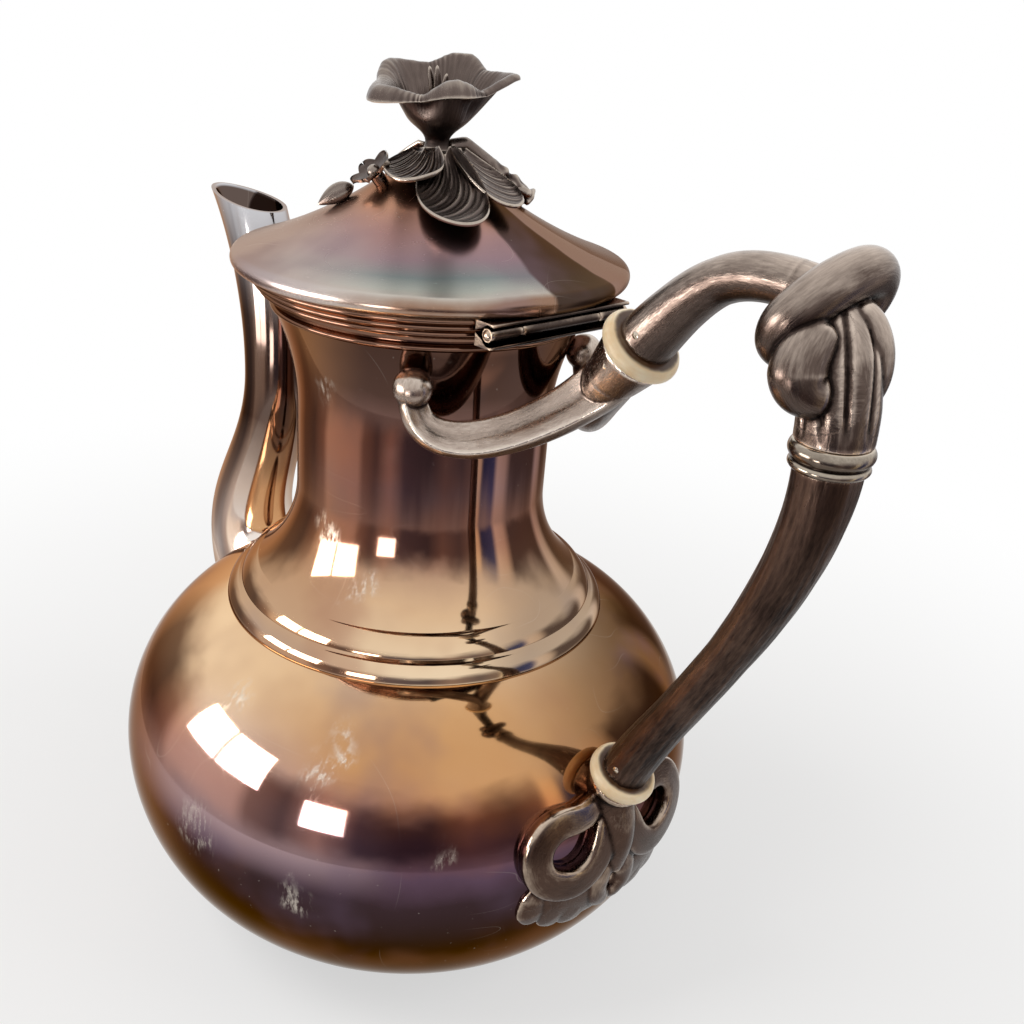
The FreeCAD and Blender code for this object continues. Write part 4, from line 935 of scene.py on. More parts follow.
BELLY_FINISH = PlateFinish(
    "tarnished_belly",
    0.0,
    0.103,
    (
        # The dark low bands stand for heavily tarnished plate and also paint the belly's dark reflection of the room
        # below.
        (0.02, (50, 31, 20)),
        (0.22, (44, 30, 22)),
        (0.42, (48, 34, 29)),
        (0.54, (60, 44, 48)),
        (0.61, (92, 70, 86)),
        (0.67, (128, 88, 88)),
        (0.73, (180, 120, 86)),
        (0.79, (206, 156, 110)),
        (0.88, (228, 188, 142)),
        (1.0, (240, 216, 184)),
    ),
    ((150, 104, 84), (104, 86, 108)),
    cloud_share=0.35,
    wander=0.13,
    shades=(
        # The pale side at -115 degrees paints light on the left side; the sides at -128 and 70 degrees paint
        # reflections of wood and of the dark handle and room.
        Shade(-15.0, 0.03, 0.06, (190, 137, 86), 0.65, 0.08), Shade(-115.0, 0.03, 0.06, (252, 220, 180), 0.75, 0.08),
        Shade(-78.0, 0.06, 0.075, (184, 158, 160), 0.75, 0.06), Shade(-128.0, 0.05, 0.078, (160, 108, 70), 0.6),
        Shade(70.0, -0.004, 0.046, (72, 49, 39), 0.85, 0.06),
    ),
    rubs=(
        (38.4, -52.3, 86.6, 6.0), (10.4, -64.0, 86.8, 7.0), (13.9, -78.1, 57.9, 9.0), (37.4, -58.8, 81.6, 7.0),
        (42.5, -67.1, 50.9, 6.0), (65.3, -41.9, 66.7, 4.0), (-58.0, 50.0, 70.0, 8.0), (20.0, 74.0, 62.0, 7.0),
    ),
)
NECK_FINISH = PlateFinish(
    "tarnished_neck",
    0.095,
    0.184,
    (
        (0.0, (234, 208, 174)),
        (0.14, (216, 180, 142)),
        (0.30, (158, 120, 102)),
        (0.48, (134, 106, 104)),
        (0.64, (126, 95, 87)),
        # The dark bands at 0.76 and 0.9 paint the shade and dark reflection under the mouth moulding.
        (0.76, (82, 60, 52)),
        (0.9, (74, 53, 45)),
        (1.0, (126, 92, 76)),
    ),
    ((104, 106, 126), (160, 110, 88)),
    cloud_share=0.5,
    shades=(Shade(-120.0, 0.018, 0.034, (168, 122, 90), 0.6), Shade(40.0, 0.02, 0.036, (96, 80, 80), 0.5)),
    rubs=((3.0, -34.0, 122.0, 6.0), (4.0, -34.0, 158.0, 5.0), (18.0, -34.0, 112.0, 5.0)),
)
LID_FINISH = PlateFinish(
    "tarnished_lid",
    0.006,
    0.0495,
    (
        (0.0, (150, 98, 70)),
        (0.30, (196, 148, 122)),
        (0.48, (172, 136, 132)),
        (0.66, (156, 132, 138)),
        (0.80, (132, 142, 142)),
        (0.90, (176, 180, 172)),
        (0.96, (196, 190, 180)),
        (1.0, (150, 118, 98)),
    ),
    ((150, 108, 102), (128, 108, 122)),
    gloss=0.22,
    by_radius=True,
    wander=0.1,
    shades=(
        # The sides at 82, 110 and 128 degrees paint the lid's reflection of the room: a dark wedge, a pale strip and a
        # warm brown side.
        Shade(82.0, 0.0, 0.0015, (62, 50, 44), 0.94), Shade(110.0, 0.0, 0.001, (158, 132, 122), 0.9),
        Shade(128.0, 0.0, 0.001, (88, 46, 28), 0.95), Shade(178.0, -0.004, 0.012, (164, 132, 118), 0.9),
        Shade(-120.0, 0.012, 0.038, (206, 192, 186), 0.8),
    ),
)
TRIM_FINISH = PlateFinish(
    "tarnished_trim",
    0.0,
    0.19,
    ((0.0, (60, 42, 33)), (0.4, (112, 82, 68)), (0.85, (112, 80, 66)), (1.0, (128, 98, 82))),
    ((90, 84, 96),),
    gloss=0.1,
)
SPOUT_FINISH = PlateFinish(
    "tarnished_spout",
    0.06,
    0.19,
    (
        # The near-white band low on the spout paints a bright reflection of the sky and the neck, and the dark bands
        # above it paint a dark reflection.
        (0.0, (150, 116, 94)),
        (0.08, (214, 190, 172)),
        (0.16, (246, 236, 228)),
        (0.34, (206, 184, 168)),
        (0.5, (92, 73, 64)),
        (0.74, (112, 96, 88)),
        (1.0, (212, 212, 216)),
    ),
    ((150, 122, 106),),
    shades=(Shade(0.0, -0.072, -0.064, (110, 92, 84), 0.4),),
)
HANDLE_FINISH = CastFinish(
    "handle_casting", (30, 23, 21), (94, 80, 73), (222, 204, 189), 0.2, 0.0001, 5.0, 24.0, 1.4, 0.36
)
GRIP_FINISH = CastFinish(
    "grip_casting", (34, 25, 22), (90, 71, 61), (200, 182, 164), 0.27, 0.00016, 4.0, 24.0, 1.3, 0.6
)
COLLAR_FINISH = CastFinish("collar_polish", (40, 32, 28), (96, 84, 74), (200, 188, 172), 0.14, 0.00003)
HINGE_FINISH = CastFinish("hinge_trim", (30, 24, 22), (76, 65, 60), (190, 170, 152), 0.16, 0.00003)
ARM_FINISH = CastFinish(
    "arm_casting", (62, 50, 45), (168, 151, 139), (240, 228, 214), gloss=0.2, grain=0.00006, hatch=0.4
)
SCROLL_FINISH = CastFinish("scroll_casting", (30, 21, 18), (80, 62, 53), (204, 184, 164), gloss=0.18, grain=0.00008)
FINIAL_FINISH = CastFinish(
    "finial_casting", (50, 41, 38), (108, 95, 89), (190, 177, 164), gloss=0.24, grain=0.00008, contrast=1.05
)
IVORY_FINISH = IvoryFinish("cream_insulator")


# Sub-assemblies


@dataclass
class Vessel:
    """Belly, base, foot, neck and mouth moulding, all turned about the axis. Sizes are in millimetres."""

    wall: float = 1.2
    foot_radius: float = 41.0
    foot_width: float = 3.0
    foot_height: float = 3.0
    base_radius: float = 42.0
    belly_radius: float = 79.5
    belly_height: float = 54.0
    shoulder_radius: float = 51.4
    shoulder_height: float = 95.0
    cushion_rise: float = 4.5
    cushion_run: float = 2.9
    neck_radius: float = 32.8
    neck_low: float = 128.0
    neck_high: float = 148.0
    mouth_radius: float = 38.6
    mouth_height: float = 174.0
    rim_radius: float = 45.5
    rim_height: float = 183.6
    hinge_inner: float = 40.95
    hinge_half: float = 21.6
    hinge_low: float = 177.9

    def belly_at(self, height: Array) -> Array:
        """Outer radius of the belly at a height: each half is an arc that stands upright at the widest line.

        Args:
            height: heights.

        Returns:
            The radius at each.
        """
        height = np.asarray(height, float)

        def arc(end: tuple[float, float]) -> Array:
            """Radius on the arc that runs from the widest line to an end.

            Args:
                end: radius and height of the end.

            Returns:
                The radius at each height.
            """
            run, rise = end[0] - self.belly_radius, end[1] - self.belly_height
            bend = -(run * run + rise * rise) / (2 * run)
            return self.belly_radius - bend + np.sqrt(np.maximum(bend**2 - (height - self.belly_height) ** 2, 0.0))

        low, high = arc((self.base_radius, self.foot_height)), arc((self.shoulder_radius, self.shoulder_height))
        return np.where(height < self.belly_height, low, high)

    def build(self) -> None:
        """Builds and dresses the turned pieces."""
        belly, neck, trim = BELLY_FINISH.build(), NECK_FINISH.build(), TRIM_FINISH.build()
        settle(self.belly(), BodyName.POT, Slot.PLATE, belly, "belly_lower", "belly_upper")
        settle(self.base(), BodyName.POT, Slot.PLATE, belly, "base_disc")
        settle(self.foot(), BodyName.POT, Slot.PLATE, trim, "foot_wire")
        settle(self.neck(), BodyName.POT, Slot.PLATE, neck, "neck_shell")
        settle(self.moulding(), BodyName.POT, Slot.PLATE, trim, "mouth_moulding")

    def belly(self) -> Piece:
        """The raised belly: outside up, over the shoulder land, and back down the inside.

        Returns:
            The piece.
        """
        wide, inner_wide = (self.belly_radius, self.belly_height), (self.belly_radius - self.wall, self.belly_height)
        low, high = (self.base_radius, self.foot_height), (self.shoulder_radius, self.shoulder_height)
        inner_low = (self.base_radius - self.wall, self.foot_height)
        inner_high = (self.shoulder_radius - self.wall * 3, self.shoulder_height)
        outline = np.vstack([
            [low],
            upright_arc(wide, low, 90)[::-1],
            upright_arc(wide, high, 90)[1:],
            line(high, inner_high, 6),
            [inner_high],
            upright_arc(inner_wide, inner_high, 40)[::-1],
            upright_arc(inner_wide, inner_low, 40)[1:],
            line(inner_low, low, 3),
        ])
        return Skin("belly").add(turned(outline), loop_rows=True).make()

    def base(self) -> Piece:
        """The bottom plate, slightly domed upwards inside its ring.

        Returns:
            The piece.
        """
        radius = self.base_radius - self.wall - FILM
        share = np.linspace(0.02, 1.0, 24)
        under = np.stack([share * radius, self.foot_height + 0.7 * (1 - share**2)], axis=1)
        over = under[::-1] + np.array([0.0, 1.2])
        return Skin("base_plate").add(turned(np.vstack([under, over])), caps=True).make()

    def foot(self) -> Piece:
        """The foot wire: a flat under a rounded outside.

        Returns:
            The piece.
        """
        inner, outer = self.foot_radius - self.foot_width, self.foot_radius
        outline = np.vstack([
            line((inner, 0.0), (outer, 0.0), 6),
            bead((outer, 0.0), (outer, self.foot_height), 1.45, 20),
            line((outer, self.foot_height), (inner, self.foot_height), 6),
            line((inner, self.foot_height), (inner, 0.0), 6),
        ])
        return Skin("foot_ring").add(turned(outline), loop_rows=True).make()

    def neck(self) -> Piece:
        """The neck: two cushioned shoulder steps parted by a fine groove, a waist and a flared mouth.

        Returns:
            The piece.
        """
        first = (self.shoulder_radius, self.shoulder_height)
        groove = (first[0] - self.cushion_run, first[1] + self.cushion_rise)
        second = (groove[0] - 0.9, groove[1] + 0.45)
        second_top = (second[0] - self.cushion_run * 1.5, second[1] + self.cushion_rise * 1.1)
        waist, waist_top = (self.neck_radius, self.neck_low), (self.neck_radius, self.neck_high)
        mouth = (self.mouth_radius, self.mouth_height)
        inner = self.neck_radius - self.wall
        hidden = (second_top[0] - self.wall * 1.6, second_top[1] - self.wall * 1.5)
        outline = np.vstack([
            bead(first, groove, 0.85, 34),
            line(groove, second, 4),
            bead(second, second_top, 0.75, 38),
            [second_top],
            upright_arc(waist, second_top, 70)[::-1],
            line(waist, waist_top, 24)[1:],
            upright_arc(waist_top, mouth, 60),
            line(mouth, (self.mouth_radius - self.wall, self.mouth_height), 3),
            [(self.mouth_radius - self.wall, self.mouth_height)],
            upright_arc((inner, self.neck_high), (self.mouth_radius - self.wall, self.mouth_height), 24)[::-1],
            line((inner, self.neck_high), (inner, self.neck_low), 8)[1:],
            upright_arc((inner, self.neck_low), hidden, 30),
            line(hidden, (first[0] - 3.0, first[1]), 5),
            line((first[0] - 3.0, first[1]), first, 4),
        ])
        return Skin("neck").add(turned(outline), loop_rows=True).make()

    def moulding(self) -> Piece:
        """The mouth moulding: a bead, a cove with two reeds and an upper edge, flattened behind the hinge.

        Returns:
            The piece.
        """
        inner = self.mouth_radius - self.wall
        low = self.mouth_height
        outline = np.vstack([
            bead((self.mouth_radius, low), (self.mouth_radius, low + 1.9), 1.0, 16),
            line((self.mouth_radius, low + 1.9), (self.mouth_radius + 0.6, low + 2.3), 3),
            upright_arc((self.mouth_radius + 0.6, low + 2.3), (41.6, low + 4.6), 12),
            bead((41.6, low + 4.6), (42.2, low + 5.5), 0.5, 10),
            line((42.2, low + 5.5), (43.0, low + 6.4), 4),
            bead((43.0, low + 6.4), (43.6, low + 7.3), 0.5, 10),
            line((43.6, low + 7.3), (44.4, low + 8.0), 4),
            bead((44.4, low + 8.0), (self.rim_radius - 0.5, self.rim_height), 0.75, 14),
            line((self.rim_radius - 0.5, self.rim_height), (inner, self.rim_height), 6),
            line((inner, self.rim_height), (inner, low), 5),
            line((inner, low), (self.mouth_radius, low), 3),
        ])
        grid = turned(outline, 360)
        behind = (np.abs(grid[..., 1]) < self.hinge_half) & (grid[..., 2] > self.hinge_low) & (grid[..., 0] > 0)
        grid[..., 0] = np.where(behind, np.minimum(grid[..., 0], self.hinge_inner), grid[..., 0])
        return Skin("mouth_moulding_ring").add(grid, loop_rows=True).make()


@dataclass
class Lid:
    """Rim wire, hollow cone and bezel of the lid, in millimetres."""

    rim_height: float = 183.6
    gap: float = 0.3
    bead_radius: float = 2.35
    radius: float = 49.0
    rise: float = 21.5
    crown: float = 7.0
    hollow: float = 95.0
    wall: float = 1.2
    bezel_radius: float = 36.8
    bezel_depth: float = 4.0

    @property
    def wire(self) -> tuple[float, float]:
        """Radius and height of the rim wire's middle."""
        return self.radius - self.bead_radius, self.rim_height + self.gap + self.bead_radius

    @property
    def top(self) -> float:
        """Height of the lid's flat crown."""
        return self.wire[1] + self.bead_radius + FILM + self.rise

    def slope_at(self, radius: Array) -> Array:
        """Height of the outer slope at a radius: an arc, hollow upwards, whose centre is high above the crown.

        Args:
            radius: radii.

        Returns:
            The height at each.
        """
        low = self.top - self.rise
        out = self.wire[0]
        high = self.top + self.hollow
        middle = (out**2 - self.crown**2 + (high - low) ** 2 - self.hollow**2) / (2 * (out - self.crown))
        bend = math.hypot(out - middle, high - low)
        radius = np.asarray(radius, float)
        return high - np.sqrt(bend**2 - (np.maximum(radius, self.crown) - middle) ** 2)

    def build(self) -> None:
        """Builds and dresses the lid's turned pieces."""
        plate = LID_FINISH.build()
        settle(self.cover(), BodyName.LID, Slot.PLATE, plate, "lid_dome", "lid_rim_wire")
        settle(self.bezel(), BodyName.LID, Slot.PLATE, plate, "lid_bezel")

    def cover(self) -> Piece:
        """The cover: its hollow slope rolls over the rim wire and under it, with an even wall inside.

        Returns:
            The piece.
        """
        out, up = self.wire
        radius = np.linspace(self.crown, out, 90)
        height = self.slope_at(radius)
        lean = math.atan2(height[-2] - height[-1], radius[-1] - radius[-2])
        meet = (out + self.bead_radius * math.sin(lean), up + self.bead_radius * math.cos(lean))
        share = shares(90)
        radius, height = radius + (meet[0] - out) * share**3, height + (meet[1] - height[-1]) * share**3
        angle = np.linspace(math.pi / 2 - lean, math.radians(-140.0), 40)
        roll = np.stack([out + self.bead_radius * np.cos(angle), up + self.bead_radius * np.sin(angle)], axis=1)
        inside = np.stack([radius[:84], height[:84] - self.wall * 1.2], axis=1)[::-1]
        outline = np.vstack([
            line((1.7, self.top), (self.crown, self.top), 6),
            np.stack([radius, height], axis=1)[:-1],
            roll,
            inside,
            line((self.crown, self.top - self.wall), (1.7, self.top - self.wall), 5)[1:],
            [(1.7, self.top - self.wall)],
        ])
        return Skin("lid_cover").add(turned(outline, 320), loop_rows=True).make()

    def bezel(self) -> Piece:
        """The sleeve that locates the lid, with its flange.

        Returns:
            The piece.
        """
        low, seat = self.rim_height - self.bezel_depth, self.rim_height + self.gap
        out, inner = self.bezel_radius, self.bezel_radius - self.wall
        flange = self.radius - self.bead_radius * 2 - FILM
        outline = np.vstack([
            bead((inner, low), (out, low), 0.35, 8),
            line((out, low), (out, seat), 6),
            line((out, seat), (flange, seat), 6),
            line((flange, seat), (flange, seat + self.wall), 3),
            line((flange, seat + self.wall), (inner, seat + self.wall), 6),
            line((inner, seat + self.wall), (inner, low), 6),
        ])
        return Skin("lid_sleeve").add(turned(outline), loop_rows=True).make()


@dataclass
class Hinge:
    """The moulded hinge bar: a lower leaf with end knuckles, an upper leaf with the middle one, and the pin."""

    out: float = 45.0
    height: float = 181.2
    half: float = 21.4
    middle: float = 12.0
    knuckle: float = 1.6
    depth: float = 4.0
    leaf: float = 3.0
    prong: float = 2.0
    boss: float = 1.5

    def bar(self, outline: Array, low: float, high: float, skin: Skin) -> None:
        """Carries an outline of x and z straight along Y, with slightly eased ends.

        Args:
            outline: closed outline of x and z.
            low, high: ends along Y.
            skin: the skin that takes the grid.
        """
        middle = outline.mean(axis=0)
        along = np.array([low, low + 0.25, *np.linspace(low + 1.0, high - 1.0, 12), high - 0.25, high])
        ease = np.ones(len(along))
        ease[[0, -1]] = 0.93
        across = middle + (outline - middle)[None] * ease[:, None, None]
        grid = np.stack([across[..., 0], np.broadcast_to(along[:, None], across.shape[:2]), across[..., 1]], axis=2)
        skin.add(grid, caps=True)

    def barrel(self, radius: float, low: float, high: float, skin: Skin) -> None:
        """A knuckle about the pin.

        Args:
            radius: its radius.
            low, high: ends along Y.
            skin: the skin that takes it.
        """
        angle = turns(48)
        outline = np.stack([self.out + radius * np.cos(angle), self.height + radius * np.sin(angle)], axis=1)
        self.bar(outline, low, high, skin)

    def build(self) -> None:
        """Builds and dresses the leaves and the pin.

        Each leaf ends in a prong with a cove behind it, so the bar's section is a fishtail with the barrel
        between the prongs. The pin swells into a domed boss at both ends.
        """
        trim = HINGE_FINISH.build()
        inner, out, middle = self.out - self.depth, self.out, self.height
        base, high = middle - self.leaf - 0.1, middle + self.leaf - 0.35
        lower, upper = Skin("hinge_lower_leaf"), Skin("hinge_upper_leaf")
        foot = np.vstack([
            line((inner, base), (out + 0.9, base), 6),
            bead((out + 0.9, base), (out + self.prong - 0.3, base + 0.75), 0.3, 8),
            bead((out + self.prong - 0.3, base + 0.75), (out - 1.6, middle - 1.3), -0.7, 12),
            line((out - 1.6, middle - 1.3), (inner, middle - 0.1), 5),
            line((inner, middle - 0.1), (inner, base), 4),
        ])
        head = np.vstack([
            line((inner, middle + 0.35), (out - 1.4, middle + 1.45), 5),
            bead((out - 1.4, middle + 1.45), (out + self.prong - 0.1, high - 0.7), -0.6, 12),
            bead((out + self.prong - 0.1, high - 0.7), (out + self.prong - 0.5, high), 0.25, 8),
            line((out + self.prong - 0.5, high), (inner, high), 6),
            line((inner, high), (inner, middle + 0.35), 4),
        ])
        self.bar(foot, -self.half, self.half, lower)
        self.bar(head, -self.half, self.half, upper)
        self.barrel(self.knuckle, -self.half, -self.middle - 0.2, lower)
        self.barrel(self.knuckle, self.middle + 0.2, self.half, lower)
        self.barrel(self.knuckle, -self.middle, self.middle, upper)
        settle(lower.make(30.0), BodyName.POT, Slot.TRIM, trim, "hinge_body_leaf")
        settle(upper.make(30.0), BodyName.LID, Slot.TRIM, trim, "hinge_lid_leaf")
        end = self.half + 0.7
        along = np.concatenate([-end + np.linspace(0.0, 1.2, 14), np.linspace(-self.half + 1.0, self.half - 1.0, 20)])
        along = np.concatenate([along, end - np.linspace(1.2, 0.0, 14)])
        left = np.clip((end - np.abs(along)) / self.boss, 0.0, 1.0)
        radius = np.where(np.abs(along) > self.half - 0.6, self.boss * np.sqrt(1 - (1 - left) ** 2), 0.9).clip(0.05)
        path = np.stack([np.full_like(along, out), along, np.full_like(along, middle)], axis=1)
        settle(Skin("hinge_pin_rod").bar(path, radius, 40).make(), BodyName.POT, Slot.TRIM, trim, "hinge_pin")


@dataclass
class Spout:
    """The hollow swan-neck spout with its sloped lip, in millimetres."""

    root: Point = (-62.0, 0.0, 54.0)
    root_pull: Point = (-110.0, 0.0, 84.0)
    waist_pull: Point = (-71.0, 0.0, 102.0)
    waist: Point = (-71.0, 0.0, 138.0)
    rise_pull: Point = (-71.0, 0.0, 162.0)
    lip: Point = (-92.2, 0.0, 198.7)
    lip_lean: float = 38.0
    lip_pull: float = 18.0
    depths: Point = (20.0, 9.6, 14.6)
    widths: Point = (17.2, 9.4, 8.0)
    wall: float = 1.2
    tip: float = 103.3
    top: float = 189.2
    lip_slope: float = 6.0

    def build(self) -> None:
        """Builds and dresses the spout.

        Ovals square to the middle line swell from the waist to the root with a power of the way down and to
        the lip with a power of the way up. Each column of points then ends on the sloped plane of the lip,
        and the inside runs down again a wall's thickness in.
        """
        lean = math.radians(self.lip_lean)
        lip_pull = np.array(self.lip) - self.lip_pull * np.array([-math.sin(lean), 0.0, math.cos(lean)])
        low = pole_curve((self.root, self.root_pull, self.waist_pull, self.waist), 120)
        high = pole_curve((self.waist, self.rise_pull, lip_pull, self.lip), 120)
        path = np.vstack([low, high[1:]])
        share = shares(120)
        down, rise = (1 - share) ** 1.6, share[1:]

        def swell(root: float, waist: float, lip: float, power: float) -> Array:
            """Half sizes along the spout, from its root by the waist to the lip."""
            return np.concatenate([waist + (root - waist) * down, waist + (lip - waist) * rise**power])

        tangent = np.gradient(path, axis=0)
        tangent /= np.linalg.norm(tangent, axis=1)[:, None]
        long_way = np.cross(tangent, np.array([0.0, 1.0, 0.0]))
        angle = turns(128)

        def wall_rows(inset: float, count: int) -> Array:
            """Rows of one wall, spread evenly from the root to the plane of the lip.

            Args:
                inset: distance in from the outside.
                count: number of rows.

            Returns:
                Rows by columns by three.
            """
            along = (swell(*self.depths, 1.4) - inset)[:, None] * np.cos(angle)
            across = (swell(*self.widths, 1.0) - inset)[:, None] * np.sin(angle)
            grid = path[:, None, :] + along[..., None] * long_way[:, None, :]
            grid[..., 1] += across
            over = grid[..., 2] - self.top + (self.tip + grid[..., 0]) * math.tan(math.radians(self.lip_slope))
            last = np.argmax(over > 0, axis=0)
            column = np.arange(len(angle))
            before, after = over[last - 1, column], over[last, column]
            stop = last - 1 + before / (before - after)
            row = shares(count)[:, None] * stop
            base = np.minimum(row.astype(int), len(path) - 2)
            part = (row - base)[..., None]
            return grid[base, column] * (1 - part) + grid[base + 1, column] * part

        rim = wall_rows(0.0, 150), wall_rows(self.wall * 0.5, 150)[-1:], wall_rows(self.wall, 110)[::-1]
        rim[1][..., 2] += 0.12
        tube = Skin("spout_tube").add(np.vstack(rim), loop_rows=True).make(50.0)
        # The inside rows are marked for the painted shade inside the tube.
        inside = np.arange(len(tube.data.vertices)) >= len(angle) * 152
        tube.data.attributes.new("painted_inside_shade", "FLOAT", "POINT").data.foreach_set("value", inside.astype(np.float32))
        settle(tube, BodyName.POT, Slot.PLATE, SPOUT_FINISH.build(), "spout")


@dataclass
class Handle:
    """Insulating rings, knotted upper part, collar and grip, in millimetres."""

    upper_ring: Point = (69.3, 0.0, 182.1)
    lower_ring: Point = (79.8, 0.0, 79.6)
    upper_lean: float = 39.0
    lower_lean: float = 24.5
    ring_radius: float = 9.2
    low_ring_radius: float = 8.2
    ring_thickness: float = 4.2
    out: float = 116.8
    collar_top: float = 176.5
    collar_height: float = 5.4
    collar_radius: float = 8.2

    @staticmethod
    def lean(degrees: float) -> Array:
        """The unit direction that leans outwards from upright."""
        return np.array([math.sin(math.radians(degrees)), 0.0, math.cos(math.radians(degrees))])

    def build(self) -> None:
        """Builds and dresses the handle."""
        cast = HANDLE_FINISH.build()
        ivory = IVORY_FINISH.build()
        upper, lower = self.lean(self.upper_lean), self.lean(self.lower_lean)
        settle(
            self.insulator("upper_ivory", self.upper_ring, upper, self.ring_radius, 4.4),
            BodyName.POT, Slot.IVORY, ivory, "upper_insulator",
        )
        settle(
            self.insulator("lower_ivory", self.lower_ring, lower, self.low_ring_radius, 3.2),
            BodyName.POT, Slot.IVORY, ivory, "lower_insulator",
        )
        settle(self.knot(upper), BodyName.POT, Slot.CAST, cast, "handle_knot")
        bright = COLLAR_FINISH.build()
        settle(self.collar(), BodyName.POT, Slot.TRIM, bright, "handle_collar")
        settle(self.grip(lower), BodyName.POT, Slot.CAST, GRIP_FINISH.build(), "handle_grip")
        offset = self.ring_thickness / 2 + 3.0
        pins = Skin("ring_rivets")
        self.rivet(pins, np.array(self.upper_ring) + upper * offset, 6.6)
        self.rivet(pins, np.array(self.upper_ring) - upper * offset, 7.54)
        settle(pins.make(), BodyName.POT, Slot.CAST, bright, "upper_ring_pins")
        low_pin = Skin("grip_rivet")
        self.rivet(low_pin, np.array(self.lower_ring) + lower * offset, 5.9)
        settle(low_pin.make(), BodyName.POT, Slot.CAST, bright, "lower_ring_pin")

    def insulator(
        self, name: str, centre: Sequence[float], axis: Array, radius: float, spigot: float
    ) -> Piece:
        """A ring with a half-round edge and a spigot each side, turned about its own axis.

        Args:
            name: piece name.
            centre: the ring's middle.
            axis: the way of its axis.
            radius: outer radius.
            spigot: radius of the spigots.

        Returns:
            The piece.
        """
        half = self.ring_thickness / 2
        shoulder = radius - half
        angle = np.linspace(-np.pi / 2, np.pi / 2, 28)
        edge = np.stack([shoulder + half * np.cos(angle), half * np.sin(angle)], axis=1)
        outline = np.vstack([
            [(0.1, -half - 2.9), (spigot, -half - 2.9), (spigot, -half)],
            line((spigot, -half), edge[0], 5),
            edge,
            line(edge[-1], (spigot, half), 5)[1:],
            [(spigot, half), (spigot, half + 5.9), (0.1, half + 5.9)],
        ])
        local = turned(outline, 160)
        side = np.array([0.0, 1.0, 0.0])
        other = np.cross(axis, side)
        grid = local[..., :1] * other + local[..., 1:2] * side + local[..., 2:] * axis + np.asarray(centre)
        return Skin(name).add(grid, local, caps=True).make()

    def knot(self, axis: Array) -> Piece:
        """The knotted casting: bars carried along the strands of an overhand knot and melted together.

        The bundle below the knot has folds like drapery: the radius loses a share wherever the absolute
        sine of a few turns comes near nothing.

        Args:
            axis: the way that the handle leaves the ring.

        Returns:
            The piece.
        """
        start = np.array(self.upper_ring) + axis * (self.ring_thickness / 2 + FILM)
        bend = np.array([self.out - 12.5, 0.0, 202.6])
        foot = np.array([self.out, 0.0, self.collar_top + FILM])
        entry = pole_curve((start, start + axis * 21.0, bend - np.array([15.0, 0.0, -0.6]), bend), 60)
        down = pole_curve((bend, bend + np.array([8.0, 0.0, -0.4]), foot + np.array([0.0, 0.0, 14.0]), foot), 60)
        wrap = spline(np.array([
            (108.2, 3.2, 193.6), (107.2, -2.6, 192.6), (106.6, -6.6, 193.6), (107.4, -7.8, 196.8),
            (109.8, -7.4, 200.4), (112.2, -4.2, 204.0), (113.6, 0.8, 206.2), (113.8, 5.6, 206.6),
            (113.0, 9.2, 204.8), (111.6, 10.2, 201.0), (109.8, 8.2, 197.0), (108.2, 3.2, 193.6),
            (107.2, -2.6, 192.6),
        ]), 130)
        lobe = spline(np.array([
            (112.4, -4.4, 198.0), (112.8, -7.8, 194.4), (112.8, -9.6, 190.4), (113.8, -8.8, 187.2),
            (116.0, -4.6, 186.2),
        ]), 60)
        right = spline(np.array([
            (113.4, 1.8, 201.0), (116.6, 3.8, 198.0), (118.6, 5.0, 193.3), (119.4, 4.4, 188.2), (118.8, 2.4, 184.2),
        ]), 60)
        heart = line((107.5, 0.0, 199.4), (116.6, 0.0, 189.0), 40)
        place = shares(60)
        bars = (
            (entry, np.interp(place, [0.0, 0.2, 0.5, 1.0], [6.4, 5.6, 4.8, 4.7]), None),
            (down, np.interp(place, [0.0, 0.35, 0.6, 0.85, 1.0], [4.6, 5.4, 7.0, 7.5, 7.4]), self.folds),
            (wrap, np.full(130, 4.6), None),
            (lobe, round_ends(np.interp(place, [0.0, 0.55, 1.0], [4.2, 5.3, 4.4]), 0.14), None),
            (right, round_ends(np.interp(place, [0.0, 0.5, 1.0], [3.2, 3.3, 3.0]), 0.14), None),
            (heart, round_ends(np.full(40, 6.6), 0.3), None),
        )
        skin = Skin("knotted_handle")
        for strand, size, section in bars:
            skin.bar(strand, size, 96 if section else 48, section=section)
        obj = skin.make()
        melt(obj, 0.3, 3, [bar[0] for bar in bars[:-1]])
        return obj

    @staticmethod
    def folds(share: Array, angle: Array) -> Array:
        """Factor of the bundle's folds: sharp valleys that fade out towards the collar."""
        valley = np.exp(-((np.sin(4.5 * angle + 1.4 * np.sin(angle + 3.0 * share))) ** 2) / 0.12)
        return 1 - 0.13 * valley * np.clip(share * 3.0, 0.0, 1.0) * np.clip((0.97 - share) * 8.0, 0.0, 1.0)

    def collar(self) -> Piece:
        """The collar: a polished band over a thin lower ring, turned about the handle's line.

        Returns:
            The piece.
        """
        low, top = self.collar_top - self.collar_height, self.collar_top
        band = low + self.collar_height * 0.36
        edge = self.collar_radius - 1.08
        outline = np.vstack([
            line((3.5, low), (edge, low), 4),
            bead((edge, low), (edge, band - 0.2), 0.55, 12),
            line((edge, band - 0.2), (edge, band), 2),
            bead((edge, band), (edge, top), 0.93, 24),
            line((edge, top), (3.5, top), 4),
            line((3.5, top), (3.5, low), 4),
        ])
        grid = turned(outline, 160) + np.array([self.out, 0.0, 0.0])
        return Skin("collar_band").add(grid, turned(outline, 160), loop_rows=True).make()

